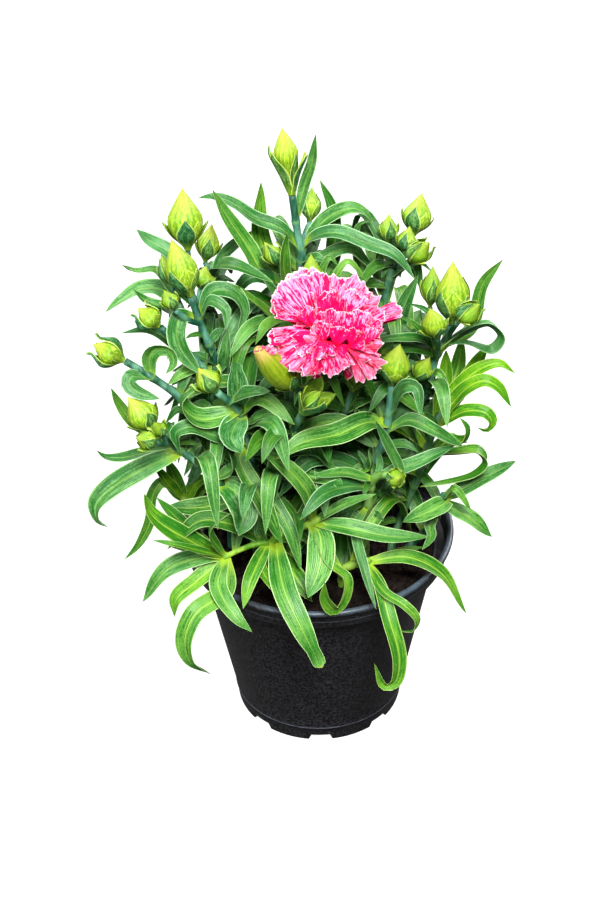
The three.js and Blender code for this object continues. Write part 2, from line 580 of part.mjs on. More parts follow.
function bladeGeometry(curve, { width, roll, blunt = 0 }, extra = 0, fromPart = 0) {
  const given = curve.points.length;
  const steps = given < 5 && curve.getLength() < LONG_BLADE ? 3 : Math.min(7, Math.max(4, given - 1));
  const all = curve.getSpacedPoints(steps);
  const from = Math.round(steps * 0.4);
  const { tangents, normals } = framesAlong(all, from, FACING, roll);
  const rings = [];
  for (let i = 0; i <= steps; i += 1) {
    const s = i / steps;
    if (s < fromPart) continue;
    if (i === steps && !blunt) {
      rings.push([all[i].clone().addScaledVector(tangents[i], extra)]);
      continue;
    }
    const half = (width / 2) * widthAt(s, blunt) + extra;
    const side = new THREE.Vector3().crossVectors(normals[i], tangents[i]);
    rings.push([
      all[i].clone().addScaledVector(side, half).addScaledVector(normals[i], extra),
      all[i].clone().addScaledVector(side, -half).addScaledVector(normals[i], extra),
      all[i].clone().addScaledVector(normals[i], -BLADE_KEEL - extra),
    ]);
  }
  return loft(rings);
}

// ---------------------------------------------------------------- buds
// A closed bud: a teardrop calyx on a collar of four small bracts, which stand out by `flare`.
// The profile gives each ring's height for each mm of length and its radius for each mm of half
// width, for the bracts' middles and for the notches between them.
function budSolid(foot, tip, width, flare, extra = 0) {
  const axis = tip.clone().sub(foot);
  const length = axis.length();
  axis.normalize();
  const across = new THREE.Vector3(0, -1, 0.3).addScaledVector(axis, axis.y - 0.3 * axis.z)
    .normalize();
  const side = new THREE.Vector3().crossVectors(axis, across);
  const bract = BRACT_LENGTH * (1 - 0.25 * flare);
  const fullest = width < PLAIN_BUD ? 0.44 : 0.36;
  const bare = [
    [-extra / length, 0.4, -extra / length, 0.4], [0.04, 0.7, 0.04, 0.7],
    [fullest, 1, fullest, 1], [0.66, 0.84, 0.66, 0.84],
  ];
  const dressed = [
    [0, 0.4, 0, 0.4], [bract, 1.38 + 0.32 * flare, 0.15, 0.88], [0.12, 0.66, 0.14, 0.72],
    bare[2], bare[3],
  ];
  const shape = extra ? bare : dressed;
  const rings = (width < PLAIN_BUD ? shape.slice(0, -1) : shape).map(([high, wide, notchHigh, notchWide]) => {
    const ring = [];
    for (let j = 0; j < BUD_SIDES; j += 1) {
      const angle = (j / BUD_SIDES) * 2 * Math.PI + 0.4;
      const [s, r] = j % 2 ? [notchHigh, notchWide] : [high, wide];
      const reach = (width / 2) * r + extra;
      ring.push(foot.clone().addScaledVector(axis, s * length)
        .addScaledVector(across, reach * Math.cos(angle))
        .addScaledVector(side, reach * Math.sin(angle)));
    }
    return ring;
  });
  rings.push([tip.clone().addScaledVector(axis, extra)]);
  return solid(loft(rings, true));
}

// ---------------------------------------------------------------- the open bloom
// One petal: a claw that widens to a ruffled fan with a toothed outer edge. Both faces are split into
// triangles alike, so they stay apart where it waves.
function petalSolid(root, axis, tip, width, lift, turn) {
  const curve = curveThrough([root, root.clone().lerp(tip, 0.5).addScaledVector(axis, lift), tip]);
  const across = new THREE.Vector3().crossVectors(axis, tip.clone().sub(root)).normalize();
  const last = PETAL_ROWS.length - 1;
  const faces = [1, -1].map((face) => PETAL_ROWS.map(([s, wide], r) => {
    const row = [];
    for (let c = 0; c <= PETAL_COLUMNS; c += 1) {
      const u = (2 * c) / PETAL_COLUMNS - 1;
      const tooth = r === last ? PETAL_TOOTH * (c % 2 ? 0.5 : -0.5) : 0;
      const reach = Math.min(1, s * (1 - 0.16 * u * u * s + tooth));
      const normal = new THREE.Vector3().crossVectors(curve.getTangentAt(reach), across).normalize();
      const wave = PETAL_RUFFLE * s * s * Math.sin(u * 4.2 + turn) - PETAL_CURL * width * u * u * s;
      row.push(curve.getPointAt(reach).addScaledVector(across, (width / 2) * wide * u)
        .addScaledVector(normal, wave + face * (PETAL_THICKNESS / 2)));
    }
    return row;
  }));
  const vertices = faces.flat(2);
  const columns = PETAL_COLUMNS + 1;
  const count = PETAL_ROWS.length * columns;
  const at = (r, c) => r * columns + c;
  const triangles = [];
  for (let r = 0; r < last; r += 1) {
    for (let c = 0; c < PETAL_COLUMNS; c += 1) {
      const [p, q, v, w] = [at(r, c), at(r, c + 1), at(r + 1, c + 1), at(r + 1, c)];
      triangles.push(p, v, q, p, w, v);
      triangles.push(count + p, count + q, count + v, count + p, count + v, count + w);
    }
  }
  const rim = [];
  for (let c = 0; c < PETAL_COLUMNS; c += 1) rim.push([at(0, c), at(0, c + 1)]);
  for (let r = 0; r < last; r += 1) rim.push([at(r, PETAL_COLUMNS), at(r + 1, PETAL_COLUMNS)]);
  for (let c = PETAL_COLUMNS; c > 0; c -= 1) rim.push([at(last, c), at(last, c - 1)]);
  for (let r = last; r > 0; r -= 1) rim.push([at(r, 0), at(r - 1, 0)]);
  for (const [a, b] of rim) triangles.push(a, b, count + a, b, count + b, count + a);
  return solid(closedGeometry(vertices, triangles));
}

// The calyx is a cup, and the petals stand on a round core that sits in its mouth.
function bloomSolids() {
  const foot = seen(...BLOOM_FOOT);
  const throat = seen(...BLOOM_THROAT);
  const axis = throat.clone().sub(foot);
  const height = axis.length();
  axis.normalize();
  const across = new THREE.Vector3(1, 0, 0).addScaledVector(axis, -axis.x).normalize();
  const cup = (extra) => solid(loft(CALYX_PROFILE.map(([s, r]) => roundRing(
    foot.clone().addScaledVector(axis, s * height + (s > 0.5 ? extra : -extra)),
    axis,
    across,
    BLOOM_CALYX_RADIUS * r + extra,
    BUD_SIDES,
  ))));
  const heart = throat.clone().addScaledVector(axis, GAP + 0.5 + BLOOM_CORE_RADIUS);
  const core = new THREE.SphereGeometry(BLOOM_CORE_RADIUS, 8, 5);
  core.translate(heart.x, heart.y, heart.z);
  const pieces = PETALS.map(([x, y, back, width, lift], i) => {
    const tip = seen(x, y, back);
    const root = heart.clone().lerp(tip, 0.55 * (BLOOM_CORE_RADIUS / heart.distanceTo(tip)));
    return petalSolid(root, axis, tip, width, lift, i * 1.9);
  });
  const petals = wasm.Manifold.union([solid(core), ...pieces]).subtract(cup(GAP));
  return { calyx: cup(0), seat: cup(GAP), petals: largestBody(petals) };
}

// ---------------------------------------------------------------- pot and soil
function turned(profile, sides) {
  const geometry = new THREE.LatheGeometry(profile.map(([r, z]) => new THREE.Vector2(r, z)), sides);
  geometry.rotateX(Math.PI / 2);
  return solid(geometry);
}

const WALL_TOP = RIM_HEIGHT - BAND_HEIGHT - 2;
const INSIDE_FOOT = BASE_RING_RADIUS - WALL;
const INSIDE_TOP = WALL_TOP_RADIUS - WALL;
const FLOOR_TOP = FLOOR_UNDERSIDE + WALL;

function potSolid() {
  const inner = RIM_RADIUS - RIM_WIDTH;
  let pot = turned([
    [0, 0], [PAD_RADIUS, 0], [PAD_RADIUS, FLOOR_UNDERSIDE], [FOOT_RADIUS - 2.6, FLOOR_UNDERSIDE],
    [FOOT_RADIUS - 2.2, 0], [FOOT_RADIUS, 0], [BASE_RING_RADIUS, BASE_RING_HEIGHT],
    [WALL_TOP_RADIUS, WALL_TOP], [BAND_RADIUS - 0.8, WALL_TOP + 1], [BAND_RADIUS, RIM_HEIGHT - 3],
    [RIM_RADIUS, RIM_HEIGHT - 2.4], [RIM_RADIUS - RIM_ROUND, RIM_HEIGHT],
    [inner + RIM_ROUND, RIM_HEIGHT], [inner, RIM_HEIGHT - 2.4], [INSIDE_TOP, WALL_TOP],
    [INSIDE_FOOT, BASE_RING_HEIGHT], [INSIDE_FOOT - 0.4, FLOOR_TOP], [0, FLOOR_TOP],
  ], POT_SIDES);
  for (let i = 0; i < NOTCHES; i += 1) {
    const notch = new THREE.BoxGeometry(NOTCH_WIDTH, 12, NOTCH_HEIGHT * 2);
    notch.translate(0, -FOOT_RADIUS, 0);
    notch.rotateZ((i / NOTCHES) * 2 * Math.PI);
    pot = pot.subtract(solid(notch));
  }
  for (let i = 0; i < DRAINS; i += 1) {
    const drain = new THREE.CylinderGeometry(DRAIN_RADIUS, DRAIN_RADIUS, 4 * WALL, 6);
    drain.rotateX(Math.PI / 2);
    drain.translate(0, -DRAIN_CIRCLE, FLOOR_UNDERSIDE + WALL / 2);
    drain.rotateZ(((i + 0.5) / DRAINS) * 2 * Math.PI);
    pot = pot.subtract(solid(drain));
  }
  return pot;
}

function soilHeight(x, y) {
  const broad = Math.sin(x * 0.13 + 1) * Math.cos(y * 0.11);
  return SOIL_TOP + SOIL_RELIEF * (broad + 0.5 * Math.sin(x * 0.31 - y * 0.27));
}

function soilSolid(roots) {
  const ring = (radius, height) => {
    const points = [];
    for (let i = 0; i < POT_SIDES; i += 1) {
      const angle = (i / POT_SIDES) * 2 * Math.PI;
      const [x, y] = [radius * Math.cos(angle), radius * Math.sin(angle)];
      points.push(new THREE.Vector3(x, y, height ?? soilHeight(x, y)));
    }
    return points;
  };
  const slope = (INSIDE_TOP - INSIDE_FOOT) / (WALL_TOP - BASE_RING_HEIGHT);
  const edge = SOIL_TOP - 2 * SOIL_RELIEF;
  const wallAt = (z) => INSIDE_FOOT + slope * (z - BASE_RING_HEIGHT) - GAP;
  let soil = solid(loft([
    [new THREE.Vector3(0, 0, FLOOR_TOP + GAP)],
    ring(INSIDE_FOOT - 0.4 - GAP, FLOOR_TOP + GAP),
    ring(wallAt(BASE_RING_HEIGHT), BASE_RING_HEIGHT),
    ring(wallAt(edge), edge),
    ring(wallAt(edge) - 2), ring(34),
    [new THREE.Vector3(0, 0, soilHeight(0, 0))],
  ]));
  for (const [x, y] of roots) {
    const hole = new THREE.CylinderGeometry(HOLE_RADIUS, HOLE_RADIUS, HOLE_DEPTH * 2, 4);
    hole.rotateX(Math.PI / 2);
    hole.translate(x, y, SOIL_TOP);
    soil = soil.subtract(solid(hole));
  }
  return soil;
}

// ---------------------------------------------------------------- growing the plant
// A skin is a surface's triangles, nine numbers each, with a box round each and round all.
function skinOf(geometry) {
  const position = geometry.attributes.position;
  const corners = geometry.index.array;
  const triangles = [];
  const box = [Infinity, Infinity, Infinity, -Infinity, -Infinity, -Infinity];
  for (let i = 0; i < corners.length; i += 3) {
    const points = [];
    const own = [Infinity, Infinity, Infinity, -Infinity, -Infinity, -Infinity];
    for (let j = 0; j < 3; j += 1) {
      for (let k = 0; k < 3; k += 1) {
        const value = position.getComponent(corners[i + j], k);
        points.push(value);
        own[k] = Math.min(own[k], value);
        own[k + 3] = Math.max(own[k + 3], value);
        box[k] = Math.min(box[k], value);
        box[k + 3] = Math.max(box[k + 3], value);
      }
    }
    triangles.push({ points, box: own });
  }
  return { triangles, box };
}

function boxesMeet(a, b) {
  return a[0] <= b[3] && b[0] <= a[3] && a[1] <= b[4] && b[1] <= a[4] && a[2] <= b[5] && b[2] <= a[5];
}

// Whether the edge from corner i to corner j of one triangle passes through the other triangle.
function edgePierces(p, i, j, q) {
  const [ox, oy, oz] = [p[i], p[i + 1], p[i + 2]];
  const [dx, dy, dz] = [p[j] - ox, p[j + 1] - oy, p[j + 2] - oz];
  const [ax, ay, az] = [q[3] - q[0], q[4] - q[1], q[5] - q[2]];
  const [bx, by, bz] = [q[6] - q[0], q[7] - q[1], q[8] - q[2]];
  const [cx, cy, cz] = [dy * bz - dz * by, dz * bx - dx * bz, dx * by - dy * bx];
  const size = ax * cx + ay * cy + az * cz;
  if (Math.abs(size) < 1e-12) return false;
  const [sx, sy, sz] = [ox - q[0], oy - q[1], oz - q[2]];
  const u = (sx * cx + sy * cy + sz * cz) / size;
  if (u < 0 || u > 1) return false;
  const [ex, ey, ez] = [sy * az - sz * ay, sz * ax - sx * az, sx * ay - sy * ax];
  const v = (dx * ex + dy * ey + dz * ez) / size;
  if (v < 0 || u + v > 1) return false;
  const t = (bx * ex + by * ey + bz * ez) / size;
  return t >= 0 && t <= 1;
}

// How many triangle pairs of two skins cross.
function crossings(a, b) {
  if (!boxesMeet(a.box, b.box)) return 0;
  const ours = a.triangles.filter((t) => boxesMeet(t.box, b.box));
  if (ours.length === 0) return 0;
  const theirs = b.triangles.filter((t) => boxesMeet(t.box, a.box));
  let count = 0;
  for (const s of ours) {
    for (const t of theirs) {
      if (!boxesMeet(s.box, t.box)) continue;
      if (edgePierces(s.points, 0, 3, t.points) || edgePierces(s.points, 3, 6, t.points)
        || edgePierces(s.points, 6, 0, t.points) || edgePierces(t.points, 0, 3, s.points)
        || edgePierces(t.points, 3, 6, s.points) || edgePierces(t.points, 6, 0, s.points)) count += 1;
    }
  }
  return count;
}

const placed = [];                 // what a new blade is kept clear of

function place(owner, geometry, outer = null) {
  placed.push({ owner, whole: skinOf(geometry), outer: outer && skinOf(outer) });
}

// A blade is kept clear of the other nodes over all of it, and of the blades of its own shoot,
// whose roots meet on the stem, over its outer part.
function growBlade(owner, curveFor, shape, orNone = false) {
  let best = null;
  for (let i = 0; i <= BEND_STEPS * 2; i += 1) {
    const bend = BEND_STEP * Math.ceil(i / 2) * (i % 2 ? -1 : 1);
    const curve = curveFor(bend);
    const whole = skinOf(bladeGeometry(curve, shape, CLEARANCE));
    const outer = skinOf(bladeGeometry(curve, shape, 0, 0.3));
    let crossed = 0;
    for (const other of placed) {
      if (other.owner !== owner) crossed += crossings(whole, other.whole);
      else if (other.outer) crossed += 0.05 * crossings(outer, other.outer);
    }
    if (!best || crossed < best.crossed) best = { crossed, curve };
    if (crossed === 0) break;
  }
  if (orNone && best.crossed >= 0.5) return null;
  const blade = bladeGeometry(best.curve, shape);
  place(owner, blade, bladeGeometry(best.curve, shape, 0, 0.3));
  return solid(blade);
}

let drawState = LEAF_SEED;

function draw(low, high) {
  drawState = (drawState * 16807) % 2147483647;
  return low + (high - low) * (drawState / 2147483647);
}

// A blade that springs from a stem toward `azimuth`, rises and arches over.
function archLine(root, azimuth, length, rise, droop) {
  const out = new THREE.Vector3(Math.cos(azimuth), Math.sin(azimuth), 0);
  const arch = [[0, 0], [0.3, 0.3], [0.66, 0.42], [0.98, 0.42 - droop]];
  return curveThrough(arch.map(([along, up]) => root.clone()
    .addScaledVector(out, along * length).addScaledVector(UP, up * rise * length)));
}

function insideOutline(point) {
  const [x, y] = onSheet(point);
  return Math.hypot((x - FILL_MIDDLE[0]) / FILL_REACH[0], (y - FILL_MIDDLE[1]) / FILL_REACH[1]) < 1;
}

// Leaf pairs at the joints of a stem, each pair turned a quarter from the last. A leaf that would
// leave the plant's outline or that finds no free way is left off.
function growPairs(name, curve, pairs, [low, high], first) {
  const blades = [];
  for (let i = 0; i < pairs; i += 1) {
    const root = curve.getPointAt(low + ((high - low) * (i + 0.5)) / pairs);
    for (const half of [0, Math.PI]) {
      const azimuth = first + (i * Math.PI) / 2 + half + draw(-0.3, 0.3);
      const [length, width] = [draw(36, 54), draw(6, 8.5)];
      const [rise, droop] = [draw(0.6, 1.2), draw(0.2, 0.6)];
      const curveFor = (by) => archLine(root, azimuth + by * 0.06, length, rise, droop);
      if (!insideOutline(curveFor(0).getPoint(1))) continue;
      const blade = growBlade(name, curveFor, { width, roll: 0 }, true);
      if (blade) blades.push(blade);
    }
  }
  return blades;
}

const group = new THREE.Group();

function addMesh(name, shape, colour, roughness) {
  const material = new THREE.MeshStandardMaterial({ color: colour, roughness, metalness: 0 });
  const mesh = new THREE.Mesh(geometryOf(shape), material);
  mesh.name = name;
  group.add(mesh);
}

// Every shoot's pieces are gathered here: a node's name, the curves of its stems, its solids.
const grown = [];
const buds = [];

// A shoot's first stem rises from the soil and the others branch off it. A stem that carries a bud
// or the bloom is cut back to leave a gap under it.
function growStems(name, shoot) {
  const curves = [];
  const solids = [];
  for (const [flat, bud] of shoot.stems) {
    const main = curves.length === 0;
    const points = main ? rootPoints(shoot.root) : [nearestOn(curves, flat[0], flat[1])];
    for (let i = main ? 0 : 3; i < flat.length; i += 3) points.push(seen(flat[i], flat[i + 1], flat[i + 2]));
    const curve = curveThrough(points);
    const line = curve.getSpacedPoints(main ? STEM_STEPS : BRANCH_STEPS);
    let stem = stemSolid(line, main ? STEM_RADIUS : BRANCH_RADIUS);
    if (bud) {
      const [budName, x, y, back, width, flare] = bud;
      const tip = seen(x, y, back);
      const foot = line[line.length - 1].clone();
      foot.addScaledVector(tip.clone().sub(foot).normalize(), GAP);
      const shape = budSolid(foot, tip, width, flare);
      stem = stem.subtract(budSolid(foot, tip, width, flare, GAP));
      place(budName, geometryOf(shape));
      buds.push([budName, shape]);
    }
    curves.push(curve);
    solids.push(stem);
  }
  let body = wasm.Manifold.union(solids);
  if (name === BLOOM_SHOOT) body = body.subtract(bloom.seat);
  place(name, geometryOf(body));
  grown.push({ name, curves, solids: [body] });
}

function growRearStem(name, [root, top]) {
  const curve = curveThrough([...rootPoints(root), new THREE.Vector3(...top)]);
  const body = stemSolid(curve.getSpacedPoints(STEM_STEPS), STEM_RADIUS);
  place(name, geometryOf(body));
  grown.push({ name, curves: [curve], solids: [body] });
}

const roots = [
  ...Object.values(SHOOTS).map((shoot) => shoot.root),
  ...Object.values(REAR_SHOOTS).map(([root]) => root),
];
const pot = potSolid();
const soil = soilSolid(roots);
const bloom = bloomSolids();
place('pot', geometryOf(pot));
place('soil', geometryOf(soil));
place('bloom_petals', geometryOf(bloom.petals));
place('bloom_calyx', geometryOf(bloom.calyx));
for (const [name, shoot] of Object.entries(SHOOTS)) growStems(name, shoot);
for (const [name, ends] of Object.entries(REAR_SHOOTS)) growRearStem(name, ends);

for (const { name, curves, solids } of grown) {
  for (const [width, middleBack, tipBack, roll, flat, blunt] of SHOOTS[name]?.leaves ?? []) {
    const root = nearestOn(curves, flat[0], flat[1]);
    const curveFor = (bend) => bladeLine(root, middleBack, tipBack, flat, bend);
    solids.push(growBlade(name, curveFor, { width, roll, blunt }));
  }
}
for (const { name, curves, solids } of grown) {
  const [pairs, span] = SHOOTS[name] ? [FILL_PAIRS, FILL_SPAN] : [REAR_PAIRS, REAR_SPAN];
  solids.push(...growPairs(name, curves[0], pairs, span, draw(0, Math.PI)));
}

addMesh('pot', pot, POT_COLOUR, 0.45);
addMesh('soil', soil, SOIL_COLOUR, 0.95);
addMesh('bloom_petals', bloom.petals, BLOOM_COLOUR, 0.6);
addMesh('bloom_calyx', bloom.calyx, BUD_COLOUR, 0.6);
for (const [name, shape] of buds) addMesh(name, shape, BUD_COLOUR, 0.55);
grown.forEach(({ name, solids }, i) => {
  const colour = LEAF_COLOURS[i % LEAF_COLOURS.length];
  addMesh(name, largestBody(wasm.Manifold.union(solids)), colour, 0.5);
});

export default group;
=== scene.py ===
"""A potted carnation (dianthus): leafy stems, buds and one open double bloom, as finely made pieces
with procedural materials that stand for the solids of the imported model.

The plant is laid out on a drawing sheet 300 mm wide and 450 mm high that leans back through the
pot's axis. A point is given in mm from the sheet's left edge, in mm down from its top edge, and by
how far it stands behind the pot's axis. It lies on the sight line of that sheet point.
"""
import math

import bpy
import numpy as np
from mathutils import Matrix, Vector, kdtree


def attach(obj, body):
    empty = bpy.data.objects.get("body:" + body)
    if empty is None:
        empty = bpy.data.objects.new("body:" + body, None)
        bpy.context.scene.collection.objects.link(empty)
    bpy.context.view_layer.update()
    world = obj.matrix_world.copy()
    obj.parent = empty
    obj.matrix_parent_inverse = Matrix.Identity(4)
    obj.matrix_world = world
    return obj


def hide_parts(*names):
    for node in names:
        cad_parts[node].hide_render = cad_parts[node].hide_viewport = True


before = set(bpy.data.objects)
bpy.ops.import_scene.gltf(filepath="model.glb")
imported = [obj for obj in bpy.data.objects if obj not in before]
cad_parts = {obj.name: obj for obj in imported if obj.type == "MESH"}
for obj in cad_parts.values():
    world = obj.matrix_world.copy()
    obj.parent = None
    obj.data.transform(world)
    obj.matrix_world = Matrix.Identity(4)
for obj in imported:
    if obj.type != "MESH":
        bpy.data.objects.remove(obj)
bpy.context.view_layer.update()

# ---- driving dimensions (mm)
# The pot.
RIM_RADIUS = 70
RIM_HEIGHT = 110
RIM_WIDTH = 3.6
LIP_RADIUS = 1.75
BAND_HEIGHT = 10.5
BAND_RADIUS = 67.6
WALL_TOP_RADIUS = 61.5
BASE_RING_RADIUS = 44.5
BASE_RING_HEIGHT = 9.5
FOOT_RADIUS = 43.5
WALL = 1.8
FLOOR_UNDERSIDE = 5
PAD_RADIUS = 10
NOTCHES = 8
NOTCH_WIDTH = 13
NOTCH_HEIGHT = 4
DRAINS = 4
DRAIN_RADIUS = 4
DRAIN_CIRCLE = 28
# The soil, how deep a stem stands in it, and the gap that is left between pieces.
SOIL_RADIUS = 60.0
SOIL_TOP = 98
SOIL_RELIEF = 1.6
HOLE_DEPTH = 14
GAP = 0.3
# Stems, and the places along one where a leaf or a branch may leave it.
STEM_RADIUS = 2.1
BRANCH_RADIUS = 1.5
ROOT_STEPS = 60
ROOT_LAST = 57
# Leaves: where they are widest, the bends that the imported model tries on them, and how near a leaf's
# tip must lie to a packed corner. A small leaf turns by BEND_TURN radians for each mm of bend instead.
BLADE_WIDEST = 0.36
BEND_STEP = 3
BEND_STEPS = 7
BEND_MATCH = 2
BEND_TURN = 0.06
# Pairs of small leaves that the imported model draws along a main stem, and the outline they stay in.
LEAF_SEED = 777
FILL_PAIRS = 3
FILL_SPAN = (0.2, 0.9)
FILL_MIDDLE = (152, 192)
FILL_REACH = (74, 84)
REAR_PAIRS = 4
REAR_SPAN = (0.25, 1.07)
# The drawing sheet and the camera.
SHEET_SIZE = (300, 450)
SHEET_MIDDLE = (150, 225)
SHEET_CENTRE = np.array([-8.0, 0.0, 158.0])
SHEET_LEAN = math.radians(36.5)
SHEET_TURN = math.radians(-1.1)
EYE_DISTANCE = 1100
LENS = 88
SENSOR = 36
MM = 0.001

